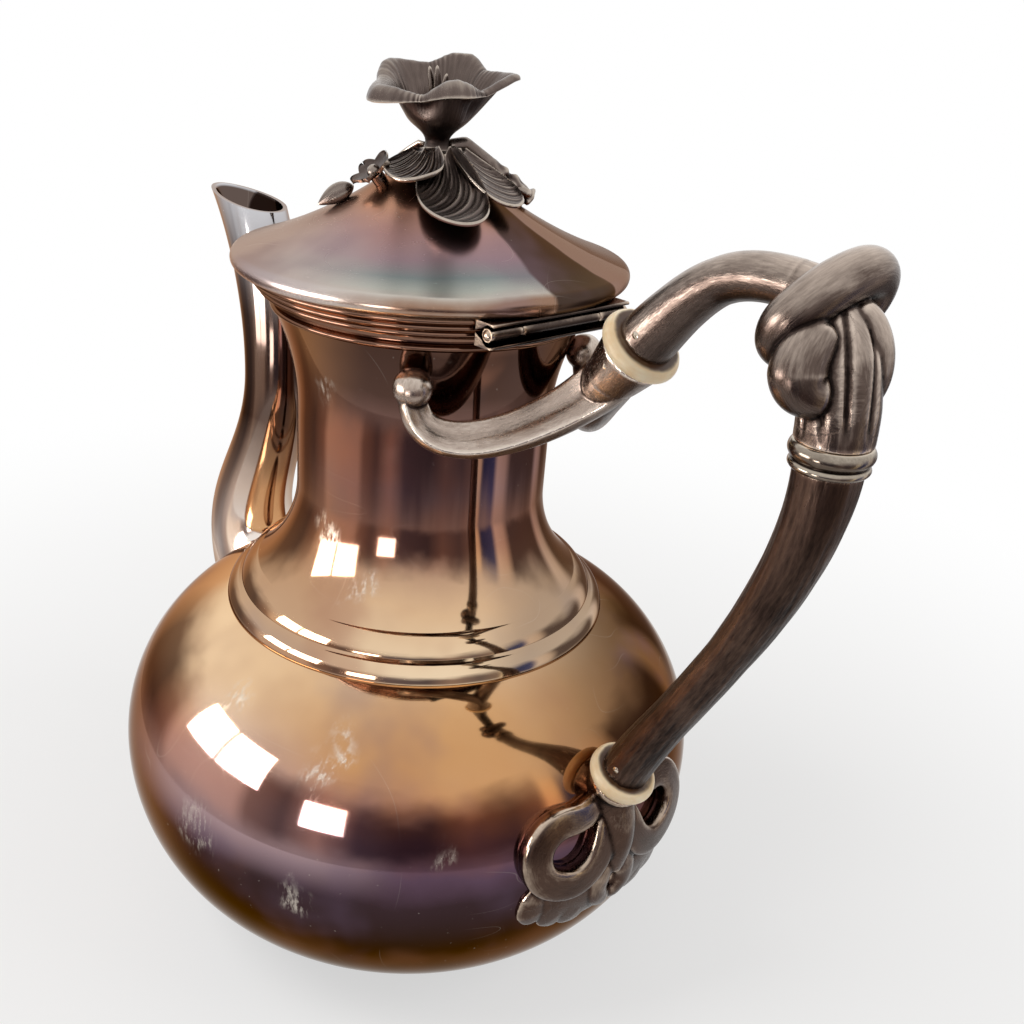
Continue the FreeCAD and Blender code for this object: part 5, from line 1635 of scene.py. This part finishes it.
    def grip(self, axis: Array) -> Piece:
        """The tapering grip, with shallow uneven flutes along it like bark.

        Args:
            axis: the way that the handle leaves the ring.

        Returns:
            The piece.
        """
        start = np.array([self.out, 0.0, self.collar_top - self.collar_height - FILM])
        stop = np.array(self.lower_ring) + axis * (self.ring_thickness / 2 + FILM)
        path = pole_curve((start, start - np.array([0.0, 0.0, 30.0]), stop + axis * 27.0, stop), 160)
        radius = np.interp(shares(160), [0, 0.25, 0.5, 0.75, 1.0], [6.6, 5.7, 4.8, 4.8, 5.7])

        def flutes(share: Array, angle: Array) -> Array:
            """Section factor: three waves of different pitch that drift along the grip."""
            wave = np.sin(7 * angle + 9 * share) + 0.7 * np.sin(13 * angle - 14 * share + 1.0)
            return 1 + 0.008 * wave + 0.006 * np.sin(23 * angle + 30 * share)

        return Skin("grip_bar").bar(path, radius, 96, section=flutes).make()

    def rivet(self, skin: Skin, centre: Array, half: float) -> None:
        """A cross pin with domed ends that stand just proud of the metal.

        Args:
            skin: the skin that takes it.
            centre: its middle.
            half: half its length.
        """
        path = np.stack([np.full(40, centre[0]), np.linspace(-half, half, 40), np.full(40, centre[2])], axis=1)
        skin.bar(path, round_ends(np.full(40, 0.95), 0.06), 28)


@dataclass
class Brackets:
    """The forked upper bracket with its balls and the scrolled lower bracket on the belly, in millimetres."""

    vessel: Vessel
    handle: Handle
    ball_radius: float = 4.6
    ball_height: float = 166.0
    ball_azimuth: float = 44.0
    ball_reach: float = 39.8
    strap_lift: float = 1.5

    def build(self) -> None:
        """Builds and dresses both brackets."""
        settle(self.upper(), BodyName.POT, Slot.CAST, ARM_FINISH.build(), "upper_bracket")
        settle(self.lower(), BodyName.POT, Slot.DARK, SCROLL_FINISH.build(), "lower_bracket")

    def upper(self) -> Piece:
        """The socket and two arms, each a half-round bar with a trough above, with a ball at its end.

        Returns:
            The piece.
        """
        ring = np.array(self.handle.upper_ring)
        axis = self.handle.lean(self.handle.upper_lean)
        fork = ring - axis * 15.5
        socket = line(ring - axis * (self.handle.ring_thickness / 2 + FILM), fork - axis * 2.5, 40)
        socket_radius = np.interp(shares(40), [0, 0.04, 0.45, 0.85, 1.0], [7.5, 7.7, 6.5, 5.0, 4.0])
        skin = Skin("forked_bracket")
        skin.bar(socket, socket_radius, 48)
        strands = [socket]
        turn = math.radians(self.ball_azimuth)
        for side in (-1.0, 1.0):
            way = np.array([math.cos(turn), side * math.sin(turn), 0.0])
            ball = way * self.ball_reach + np.array([0.0, 0.0, self.ball_height])
            poles = (
                fork + axis * 4.5, fork - axis * 19.0 + np.array([0.0, 6.0 * side, 0.0]),
                ball + way * 5.0 - np.array([0.0, 0.0, 19.0]), ball,
            )
            root = ring - axis * 3.0 + np.array([0.0, side, 0.0])
            path = np.vstack([line(root, poles[0], 20), pole_curve(poles, 90)])
            size = np.interp(shares(110), [0, 0.12, 0.3, 0.5, 0.75, 1.0], [6.6, 6.4, 5.4, 4.7, 4.1, 3.2])
            inwards = np.array([45.0, 14.0 * side, 172.0]) - path
            inwards = inwards / np.linalg.norm(inwards, axis=1)[:, None] + 0.95 * way
            skin.bar(path, size, 64, section=troughed, up=inwards)
            strands.append(path)
            pole = np.linspace(-self.ball_radius, self.ball_radius, 40)
            upright = ball + np.stack([np.zeros(40), np.zeros(40), pole], axis=1)
            size = np.sqrt(np.maximum(self.ball_radius**2 - pole**2, 0.0004))
            skin.bar(upright, size, 48)
        obj = skin.make()
        melt(obj, 0.3, 2, strands)
        return obj

    def on_belly(self, across: Array, height: Array, lift: float) -> tuple[Array, Array]:
        """Points over the belly on the handle's side, lifted off its surface, and the way the surface faces there.

        Args:
            across, height: places on the belly.
            lift: distance off its surface.

        Returns:
            The points and the ways.
        """
        radius = self.vessel.belly_at(height)
        out = np.stack([np.sqrt(np.maximum(radius**2 - across**2, 1.0)), across], axis=1)
        facing = np.column_stack([out / radius[:, None] * 48.0, height - self.vessel.belly_height])
        facing /= np.linalg.norm(facing, axis=1)[:, None]
        return np.column_stack([out, height]) + facing * lift, facing

    def lower(self) -> Piece:
        """The stem and its strapwork: flat straps curled on the belly, with lobes under them, melted together.

        Returns:
            The piece.
        """
        ring = np.array(self.handle.lower_ring)
        axis = self.handle.lean(self.handle.lower_lean)
        seat = self.handle.ring_thickness / 2 + FILM
        way = (ring - axis * seat, ring - axis * 6.5, (79.2, 0.0, 66.4), (80.6, 0.0, 59.0), (80.4, 0.0, 52.0))
        stem = spline(np.array(way), 50)
        size = np.interp(shares(50), [0, 0.06, 0.35, 0.7, 1.0], [6.6, 7.0, 5.6, 4.2, 2.4])
        skin = Skin("scrolled_bracket")
        skin.bar(stem, size, 48)
        strands = [stem]
        loop = (
            (-1.2, 71.6), (-3.2, 66.6), (-5.2, 61.0), (-8.3, 56.6), (-12.8, 54.4), (-18.0, 55.2), (-22.0, 58.2),
            (-23.3, 62.4), (-22.0, 66.4), (-18.8, 69.0), (-14.6, 69.8), (-10.0, 69.8), (-5.0, 71.6), (-1.0, 73.4),
        )
        straps = (
            (loop, (3.6, 4.2, 4.0, 3.0), self.strap_lift, 0.6, squared),
            (((-23.0, 49.4), (-16.0, 47.2), (-8.0, 45.6), (0.0, 45.0)), (3.4, 6.0, 6.2, 5.6), 0.3, 0.3, None),
            (((-21.0, 54.0), (-22.6, 50.8), (-22.8, 47.0), (-21.0, 43.2)), (2.0, 3.6, 4.0, 2.6), 0.3, 0.4, None),
            (((-16.4, 51.6), (-17.6, 48.0), (-16.6, 44.0), (-13.4, 41.4)), (2.0, 4.2, 4.6, 3.0), 0.5, 0.34, None),
            (((-12.0, 51.4), (-12.8, 47.0), (-10.8, 42.8), (-6.4, 40.8)), (2.0, 4.4, 4.8, 3.0), 0.6, 0.34, None),
            (((-1.0, 56.0), (-4.4, 50.4), (-4.2, 45.6), (0.0, 42.0)), (2.4, 3.4, 3.4, 2.6), 1.2, 0.6, None),
        )
        for side in (1.0, -1.0):
            for points, widths, lift, low, section in straps:
                flat = spline(np.array(points) * np.array([side, 1.0]), 80)
                path, facing = self.on_belly(flat[:, 0], flat[:, 1], lift)
                size = round_ends(np.interp(shares(80), shares(4), widths), 0.16)
                skin.bar(path, size, 48, flat=low, section=section, up=facing)
                strands.append(path)
        obj = skin.make()
        melt(obj, 0.3, 4, strands)
        return obj


@dataclass
class Finial:
    """The cast cluster on the lid: flower, pistil, leaves, blossom, bud and twig, in millimetres."""

    lid: Lid
    flower_top: float = 233.6
    petals: int = 5

    def build(self) -> None:
        """Builds and dresses the cluster."""
        cast = FINIAL_FINISH.build()
        settle(self.hub(), BodyName.LID, Slot.DARK, cast, "finial_hub")
        settle(self.flower(), BodyName.LID, Slot.DARK, cast, "finial_flower")
        settle(self.pistil(), BodyName.LID, Slot.DARK, cast, "finial_pistil")
        for name, *shape in (
            ("front", -27.0, 28.4, 16.0, 0.8, 2.0, 1), ("right", 14.0, 24.0, 12.0, -0.5, 2.4, 2),
            ("left", -66.0, 18.0, 14.0, 0.3, 3.4, 4), ("back", 150.0, 22.0, 16.0, 0.3, 1.2, 4),
        ):
            leaf = self.leaf(f"cast_leaf_{name}", *shape)
            settle(leaf, BodyName.LID, Slot.DARK, cast, f"finial_leaf_{name}")
        settle(self.blossom(), BodyName.LID, Slot.DARK, cast, "finial_blossom")
        settle(self.bud(), BodyName.LID, Slot.DARK, cast, "finial_bud")
        settle(self.twig(), BodyName.LID, Slot.DARK, cast, "finial_twig")

    def over_lid(self, azimuth: float, radius: Array, lift: Array) -> Array:
        """Points over the lid's slope at an azimuth in degrees.

        Args:
            azimuth: direction.
            radius: distances from the axis.
            lift: heights over the slope.

        Returns:
            The points in a row.
        """
        angle = math.radians(azimuth)
        radius = np.asarray(radius, float)
        height = self.lid.slope_at(radius) + lift
        return np.stack([radius * math.cos(angle), radius * math.sin(angle), height], axis=1)

    def hub(self) -> Piece:
        """The low mound the cluster is cast on: a quarter sine turned about the axis.

        Returns:
            The piece.
        """
        top = self.lid.top + FILM
        share = shares(24)
        outline = np.vstack([
            line((0.1, top), (5.8, top), 6),
            np.stack([5.8 - 2.6 * share, top + 2.4 * np.sin(share * np.pi / 2)], axis=1),
            [(0.1, top + 2.4)],
        ])
        return Skin("finial_mound").add(turned(outline, 96), caps=True).make()

    def flower(self) -> Piece:
        """A trumpet with an uneven lip.

        Ten spokes give the lip's reach, its height and how far it rolls over; between them a smooth step of
        the angle blends. Along each spoke a cubic curve runs from the stem through the funnel and over the
        lip. The inside is the outside set back along its normals, ribbed by a cosine of many turns.

        Returns:
            The piece.
        """
        foot = self.lid.top + FILM + 2.45
        lip = np.array([
            (13.4, 228.6, 5.0), (12.2, 226.2, 1.0), (17.0, 229.8, 0.6), (13.2, 229.6, 0.3), (15.4, 233.2, 0.6),
            (12.8, 230.4, 0.3), (15.2, 231.0, 1.2), (13.2, 227.2, 1.6), (14.8, 226.4, 5.2), (11.0, 224.8, 1.6),
        ])
        angle = turns(400)
        turn = (np.degrees(angle) + 25.0) / 36.0 % 10.0
        spoke = turn.astype(int)
        part = (turn - spoke)[:, None]
        part = part * part * (3 - 2 * part)
        out, top, roll = (lip[spoke] * (1 - part) + lip[(spoke + 1) % 10] * part).T
        out = out + 0.5 * np.exp(-((turn - 2.0) ** 2) / 0.02)
        same, throat = np.ones_like(angle), foot + 6.6
        knots = np.stack([
            np.stack([wide * same, high * same], axis=1) for wide, high in (
                (3.2, foot), (2.9, foot + 2.2), (4.6, foot + 4.4), (7.2, throat),
                (out * 0.74, throat + (top - throat) * 0.62), (out * 0.95, top - 0.25),
                (out + roll * 0.35, top - roll * 0.12), (out + roll * 0.6, top - roll * 0.62),
            )
        ])
        rows = spline(knots, 90)
        outer = np.stack([rows[..., 0] * np.cos(angle), rows[..., 0] * np.sin(angle), rows[..., 1]], axis=2)
        normal = np.cross(np.gradient(outer, axis=0), np.roll(outer, -1, axis=1) - np.roll(outer, 1, axis=1))
        normal /= np.linalg.norm(normal, axis=2)[..., None]
        normal *= np.sign(normal[70, :, 2].mean())
        near_lip = np.clip((rows[..., 0] - 5.0) / 8.0, 0.0, 1.0)
        ribs = 0.045 * np.cos(52 * angle + 5.0 * np.sin(5 * angle)) * (0.6 + 0.4 * np.cos(7 * angle + 2.0))
        ribs += 0.035 * np.cos(31 * angle + 1.0 + 2.0 * np.sin(3 * angle))
        inner = outer + normal * (0.85 + ribs * near_lip)[..., None]
        outer = outer - normal * (ribs * near_lip * 0.5)[..., None]
        grid = np.concatenate([outer, inner[:20:-1]])
        grid[..., 2] = np.minimum(grid[..., 2], self.flower_top - 0.02)
        long_way = np.concatenate([np.arange(90), np.arange(89, 20, -1)]) * 0.28
        grain = np.stack(np.broadcast_arrays(long_way[:, None], 14.0 * np.cos(angle), 14.0 * np.sin(angle)), axis=2)
        return Skin("trumpet_flower").add(grid, grain, caps=True).make(60.0)

    def pistil(self) -> Piece:
        """Three flat pointed stamens that stand up from the throat.

        Returns:
            The piece.
        """
        skin = Skin("stamens")
        base = np.array([0.0, 0.0, self.lid.top + 9.0])
        for turn, lean, tall in ((-2.2, 2.6, 12.0), (-1.4, 1.2, 12.3), (0.6, 1.6, 10.6)):
            away = np.array([math.cos(turn), math.sin(turn), 0.0])
            tip = away * lean + (0, 0, tall)
            path = spline(np.array([base, base + tip * 0.5, base + tip]), 40)
            size = round_ends(np.interp(shares(40), [0, 0.6, 1], [0.9, 1.15, 0.7]), 0.2)
            skin.bar(path, size, 24, flat=0.45)
        return skin.make()

    def leaf(
        self, name: str, azimuth: float, reach: float, width: float, sweep: float, lift: float, scallops: int
    ) -> Piece:
        """A round cupped leaf with swept veins and a thick turned-up rim, closed by its underside.

        The grid's rows are rings about the leaf's middle and its columns are angles. The outline is an oval
        with a notch at the foot and shallow scallops. Height is the lid's slope plus a cup that grows with
        the square of the ring and a rim that grows with its eighth power. Veins are a cosine of the angle
        seen from the foot, swept round as the leaf goes out.

        Args:
            name: piece name.
            azimuth: direction in degrees.
            reach: distance of the tip from the axis.
            width: full width.
            sweep: how far the veins bend, in radians.
            lift: how far the tip stands off the lid.
            scallops: number of scallops round the edge.

        Returns:
            The piece.
        """
        start = 4.6
        ring = np.linspace(0.02, 1.0, 60)[:, None]
        angle = turns(200)[None, :]
        notch = 1 - 0.3 * np.exp(-((np.abs(angle - np.pi)) ** 2) / 0.06) + 0.05 * np.cos(scallops * angle)
        along = (reach + start) / 2 + (reach - start) / 2 * ring * np.cos(angle) * notch
        across = width / 2 * ring * np.sin(angle) * notch * (1 + 0.12 * np.cos(angle))
        share = np.clip((along - start) / (reach - start), 0.0, 1.0)
        fan = np.arctan2(across, along - start + 2.5) + sweep * share**2
        veins = 0.07 * np.cos(fan * 38.0) + 0.05 * np.cos(fan * 71.0 + 1.0)
        veins = veins * np.clip(share * 4, 0, 1) * (1 - ring**8) * np.clip(ring * 3, 0, 1)
        cup = 1.6 * ring**2 * (0.4 + 0.6 * np.sin(angle - sweep) ** 2)
        rim = 0.75 * ring**9 * (1 - 0.5 * np.cos(angle + 0.9))
        span = np.minimum(np.hypot(along, across), self.lid.wire[0])
        height = self.lid.slope_at(span) + 1.4 + lift * share + cup + rim + veins
        top = np.stack(np.broadcast_arrays(along, across, height), axis=2)
        under = np.stack(np.broadcast_arrays(along, across, height - veins - 1.0), axis=2)
        edge = top[-1:] * 0.5 + under[-1:] * 0.5
        edge[..., :2] += (edge[..., :2] - np.array([(reach + start) / 2, 0.0])) * 0.03
        grid = np.concatenate([top, edge, under[::-1]])
        turn = math.radians(azimuth)
        spin = np.array([[math.cos(turn), -math.sin(turn), 0], [math.sin(turn), math.cos(turn), 0], [0, 0, 1]])
        straight = np.stack(np.broadcast_arrays(span, fan * 14.0, np.ones_like(span)), axis=2)
        grain = np.concatenate([straight, straight[-1:], straight[::-1]])
        return Skin(name).add(grid @ spin.T, grain, caps=True).make(60.0)

    def blossom(self) -> Piece:
        """Five cupped petals round a raised eye, tilted outwards.

        Returns:
            The piece.
        """
        centre = self.over_lid(-107.0, np.array([15.6]), 3.6)[0]
        axis = np.array([centre[0], centre[1], 0.0]) / np.hypot(centre[0], centre[1]) * 0.62 + np.array([0, 0, 0.78])
        axis /= np.linalg.norm(axis)
        side = np.cross(axis, np.array([0.0, 0.0, 1.0]))
        side /= np.linalg.norm(side)
        other = np.cross(axis, side)
        skin = Skin("small_blossom")
        along = shares(24)[:, None]
        across = np.cos(np.linspace(0.0, np.pi, 24))[None, :]
        for k in range(self.petals):
            turn = 2 * math.pi * k / self.petals
            out = 0.8 + 4.9 * along + 0 * across
            wide = (2.5 * np.sin(np.pi * along**0.6).clip(0) ** 0.6 + 0.2) * across
            up = 0.3 + 1.5 * along**2 - 0.7 * along**8 + 0.7 * across**2 * along
            top = np.stack(np.broadcast_arrays(out, wide, up), axis=2)
            under = top - np.array([0.0, 0.0, 0.8])
            local = np.concatenate([top, under[:, ::-1][:, 1:-1]], axis=1)
            x = local[..., :1] * math.cos(turn) - local[..., 1:2] * math.sin(turn)
            y = local[..., :1] * math.sin(turn) + local[..., 1:2] * math.cos(turn)
            skin.add(centre + x * side + y * other + local[..., 2:] * axis, local, caps=True)
        path = centre + np.linspace(-4.4, 1.9, 30)[:, None] * axis
        skin.bar(path, round_ends(np.full(30, 1.7), 0.3), 28)
        return skin.make(50.0)

    def bud(self) -> Piece:
        """A pointed bud lying down the slope: a spindle with a fold along it.

        Returns:
            The piece.
        """
        share = shares(50)
        path = self.over_lid(-124.0, 19.5 + 8.5 * share, 2.1 + 0.4 * np.sin(np.pi * share))
        size = 2.35 * np.sin(np.pi * share**0.8).clip(0.03) ** 0.8

        def fold(_: Array, angle: Array) -> Array:
            """Section factor of the fold: a narrow valley along one side."""
            return 1 - 0.16 * np.exp(-((np.cos(angle) + 1) ** 2) / 0.08)

        return Skin("closed_bud").bar(path, size, 40, section=fold).make(50.0)

    def twig(self) -> Piece:
        """A twig down the slope: smooth at first, then knobbly, with a short fork at its end.

        Returns:
            The piece.
        """
        share = shares(90)
        path = self.over_lid(68.0, 2.6 + 22.9 * share, 2.9 + 1.2 * np.sin(share * 3.0))
        rough = np.clip((share - 0.45) * 4, 0, 1)
        size = round_ends(1.9 + rough * (0.35 * np.sin(share * 34.0) + 0.25 * np.sin(share * 53.0)), 0.06)
        skin = Skin("broken_twig")

        def knobs(share: Array, angle: Array) -> Array:
            """Section factor of the knobs: two waves that start halfway down."""
            wave = 0.12 * np.sin(3 * angle + 26 * share) + 0.09 * np.sin(5 * angle - 41 * share)
            return 1 + np.clip((share - 0.45) * 4, 0, 1) * wave

        skin.bar(path, size, 48, section=knobs)
        side = np.cross(path[70] - path[60], (0.0, 0.0, 1.0))
        side /= np.linalg.norm(side)
        for sign, tip in ((1.0, 2.6), (-1.0, 2.0)):
            aside = side * sign
            fork = spline(np.array([path[62], path[74] + aside * 1.2, path[84] + aside * tip + (0, 0, 0.7)]), 30)
            skin.bar(fork, round_ends(np.full(30, 1.15), 0.16), 28)
        return skin.make(60.0)


@dataclass
class Studio:
    """Floor, world, lamps, the surround that the metal reflects, and the camera."""

    lens: float = 40.83
    sensor: float = 36.0
    shift_x: float = 0.0466
    shift_y: float = -0.0082
    place: Point = (0.21996, -0.18457, 0.24830)
    surround_radius: float = 0.26
    surround_height: float = 0.21
    skirting: tuple[float, float, float, float] = (0.46, 0.43, 0.42, 1.0)
    panels: tuple[tuple[float, Screen], ...] = (
        (-180, (196, 172, 152)), (-166, (118, 106, 102)), (-148, (98, 90, 90)), (-134, (150, 132, 122)),
        (-128, (218, 204, 190)), (-95, (204, 186, 172)), (-90, (140, 122, 112)), (-84, (124, 108, 102)),
        (-78, (100, 90, 90)), (-66, (172, 148, 136)), (-54, (92, 84, 92)), (-32, (76, 70, 78)), (-20, (124, 108, 104)),
        (-6, (96, 88, 92)), (5, (132, 118, 112)),
        (7, (250, 236, 204)), (11, (244, 230, 196)), (13, (58, 66, 108)), (24, (80, 90, 138)), (28, (234, 226, 218)),
        (36, (216, 206, 196)), (42, (98, 90, 90)), (74, (106, 97, 95)), (80, (240, 242, 250)), (86, (230, 232, 240)),
        (92, (112, 101, 95)), (126, (150, 128, 114)), (152, (206, 178, 154)), (180, (196, 172, 152)),
    )
    panes: tuple[tuple[float, float, float, float], ...] = (
        (-124.0, -108.0, 0.105, 0.195), (-106.5, -88.0, 0.105, 0.195), (-72.0, -58.0, 0.070, 0.128),
    )

    def build(self) -> None:
        """Builds the whole set."""
        self.world()
        self.floor()
        self.lamps()
        self.surround()
        self.window()
        self.camera()

    @staticmethod
    def seen(tree: bpy.types.NodeTree) -> Socket:
        """One where a ray comes from the camera, from a mirror or through glass, else nothing.

        Args:
            tree: the nodes to build in.

        Returns:
            The share.
        """
        path = tree.nodes.new("ShaderNodeLightPath")
        share = path.outputs["Is Camera Ray"]
        for name in ("Is Glossy Ray", "Is Transmission Ray"):
            node = tree.nodes.new("ShaderNodeMath")
            node.operation = "MAXIMUM"
            tree.links.new(share, node.inputs[0])
            tree.links.new(path.outputs[name], node.inputs[1])
            share = node.outputs[0]
        return share

    def world(self) -> None:
        """A pale surround that lights softly and shows white."""
        world = bpy.data.worlds.new("studio")
        bpy.context.scene.world = world
        world.use_nodes = True
        tree = world.node_tree
        tree.nodes.clear()
        out, mix = tree.nodes.new("ShaderNodeOutputWorld"), tree.nodes.new("ShaderNodeMixShader")
        tree.links.new(self.seen(tree), mix.inputs[0])
        for socket, colour, strength in ((1, (1.0, 0.98, 0.95, 1.0), 0.42), (2, (1.0, 1.0, 1.0, 1.0), 1.0)):
            light = tree.nodes.new("ShaderNodeBackground")
            light.inputs["Color"].default_value = colour
            light.inputs["Strength"].default_value = strength
            tree.links.new(light.outputs[0], mix.inputs[socket])
        tree.links.new(mix.outputs[0], out.inputs["Surface"])

    @staticmethod
    def put_sheet(name: str, points: Array, faces: Array, material: Material, hidden: bool) -> None:
        """Adds one flat or curved sheet of the set.

        Args:
            name: object name.
            points: corners in metres.
            faces: rows of four corners.
            material: its finish.
            hidden: whether only mirrors see it.
        """
        mesh = bpy.data.meshes.new(name)
        mesh.from_pydata(points.tolist(), [], faces.tolist())
        mesh.materials.append(material)
        obj = bpy.data.objects.new(name, mesh)
        bpy.context.scene.collection.objects.link(obj)
        obj.visible_camera = obj.visible_diffuse = obj.visible_shadow = not hidden

    def floor(self) -> None:
        """A pale floor that keeps a soft shadow near the pot and turns white away from it."""
        far = 4.0
        s = Shader("floor")
        s.fix("Base Color", (0.86, 0.85, 0.84, 1.0))
        s.fix("Roughness", 0.9)
        s.fix("Specular IOR Level", 0.0)
        white = s.node("Emission")
        mix = s.node("MixShader")
        share = s.span(s.length(s.place), 0.1, 0.42, 0.6, 1.0)
        s.put(mix.inputs[0], s.math("MULTIPLY", share, self.seen(s.tree)))
        s.put(mix.inputs[1], s.bsdf.outputs[0])
        s.put(mix.inputs[2], white.outputs[0])
        s.put(s.tree.nodes["Material Output"].inputs["Surface"], mix.outputs[0])
        low = -0.0002
        corners = np.array([(-far, -far, low), (far, -far, low), (far, far, low), (-far, far, low)])
        self.put_sheet("floor", corners, np.array([[0, 1, 2, 3]]), s.material, False)

    def lamps(self) -> None:
        """Two soft boxes whose own squares the metal doesn't show."""
        for name, place, size, power in (("key", (-0.25, -0.62, 0.95), 0.5, 5.0), ("fill", (0.8, 0.5, 0.8), 0.6, 2.4)):
            data = bpy.data.lights.new(name, "AREA")
            data.size = size
            data.energy = power
            obj = bpy.data.objects.new(name, data)
            bpy.context.scene.collection.objects.link(obj)
            obj.location = place
            obj.visible_glossy = False
            way = np.array((0.0, 0.0, 0.1)) - np.array(place)
            obj.rotation_euler = Matrix(look_axes(way)).transposed().to_euler()

    def glow(self, name: str, colour: object, strength: float, share: object) -> Material:
        """A sheet that shines evenly where its share is one and lets light through where it is nothing.

        Args:
            name: material name.
            colour: a colour, or a function that builds one.
            strength: how bright it is.
            share: a share, or a function that builds one.

        Returns:
            The material.
        """
        s = Shader(name)
        light, clear = s.node("Emission"), s.node("BsdfTransparent")
        mix = s.node("MixShader")
        s.put(light.inputs["Color"], colour(s) if callable(colour) else colour)
        light.inputs["Strength"].default_value = strength
        s.put(mix.inputs[0], share(s) if callable(share) else share)
        s.put(mix.inputs[1], clear.outputs[0])
        s.put(mix.inputs[2], light.outputs[0])
        s.put(s.tree.nodes["Material Output"].inputs["Surface"], mix.outputs[0])
        s.material.cycles.emission_sampling = "NONE"
        return s.material

    def surround(self) -> None:
        """A low ring of soft panels round the pot, which only the metal sees, as stripes of light and dark."""
        angle = np.linspace(-np.pi, np.pi, 145)
        ring = self.surround_radius * np.stack([np.cos(angle), np.sin(angle)], axis=1)
        low = np.column_stack([ring, np.zeros(len(ring))])
        points = np.vstack([low, low + np.array([0.0, 0.0, self.surround_height])])
        first = np.arange(len(ring) - 1)
        faces = np.stack([first, first + 1, first + 1 + len(ring), first + len(ring)], axis=1)

        def stripes(s: Shader) -> Socket:
            """Colour of the ring: a ramp round its turn, which pales towards the floor.

            Args:
                s: the shader to build in.

            Returns:
                The colour.
            """
            turn = s.math("ARCTAN2", s.axis("Y"), s.axis("X"))
            share = s.math("MULTIPLY_ADD", turn, 0.5 / math.pi, 0.5)
            stops = [(azimuth / 360 + 0.5, linear(*tone)) for azimuth, tone in self.panels]
            colour = s.ramp(share, stops, smooth=False)
            wave = s.math("MULTIPLY_ADD", s.noise(16.0, 3.0), 0.05, -0.025)
            return s.mix(s.span(s.math("ADD", s.axis("Z"), wave), 0.05, -0.01), colour, self.skirting)

        def fade(s: Shader) -> Socket:
            """Share that shines: all of it low down, and nothing at an uneven upper edge."""
            wave = s.math("MULTIPLY_ADD", s.noise(7.0, 3.0), 0.16, -0.08)
            return s.span(s.math("ADD", s.axis("Z"), wave), self.surround_height, self.surround_height * 0.55)

        self.put_sheet("surround", points, faces, self.glow("surround", stripes, 1.5, fade), True)

    def window(self) -> None:
        """Bright panes in the surround, which the belly and the neck show as highlights."""
        points, radius = [], self.surround_radius * 0.97
        for start, end, low, high in self.panes:
            a, b = math.radians(start), math.radians(end)
            points += [
                (radius * math.cos(t), radius * math.sin(t), h) for t, h in ((a, low), (b, low), (b, high), (a, high))
            ]
        faces = np.arange(len(points)).reshape(-1, 4)
        glow = self.glow("window_panes", (1.0, 0.97, 0.94, 1.0), 10.0, 1.0)
        self.put_sheet("window_panes", np.array(points), faces, glow, True)

    def camera(self) -> None:
        """The camera at the photograph's place, set from its three axes."""
        data = bpy.data.cameras.new("view")
        data.lens, data.sensor_width = self.lens, self.sensor
        data.shift_x, data.shift_y = self.shift_x, self.shift_y
        data.clip_start, data.clip_end = 0.01, 20.0
        obj = bpy.data.objects.new("view", data)
        bpy.context.scene.collection.objects.link(obj)
        right, up, back = (0.65349, 0.75460, 0.05936), (-0.34290, 0.22522, 0.91197), (0.67481, -0.61632, 0.40593)
        axes = np.eye(4)
        axes[:3, 0], axes[:3, 1], axes[:3, 2], axes[:3, 3] = right, up, back, self.place
        obj.matrix_world = Matrix(axes.tolist())
        bpy.context.scene.camera = obj


def look_axes(way: Array) -> list[list[float]]:
    """Rows of the right, up and back axes of a lamp that looks along a way.

    Args:
        way: the way that it looks.

    Returns:
        The three rows.
    """
    back = -way / np.linalg.norm(way)
    right = np.cross(np.array([0.0, 0.0, 1.0]), back)
    right /= np.linalg.norm(right)
    return [right.tolist(), np.cross(back, right).tolist(), back.tolist()]


def main() -> None:
    """Builds every sub-assembly in order."""
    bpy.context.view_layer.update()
    bpy.context.scene.view_settings.view_transform = "Standard"
    vessel, lid, handle = Vessel(), Lid(), Handle()
    for part in (vessel, lid, Hinge(), Spout(), handle, Brackets(vessel, handle), Finial(lid), Studio()):
        log.info("building %s", type(part).__name__.lower())
        part.build()
    inside = Shader("hidden_fittings")
    stops = [(0.3, linear(90, 78, 68)), (0.7, linear(150, 136, 120))]
    inside.fix("Base Color", inside.ramp(inside.noise(300.0), stops))
    inside.fix("Metallic", 1.0)
    inside.fix("Roughness", 0.35)
    for name in ("finial_nut", "finial_stud"):
        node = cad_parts[name]
        node.data.materials.clear()
        node.data.materials.append(inside.material)


if __name__ == "__main__":
    main()
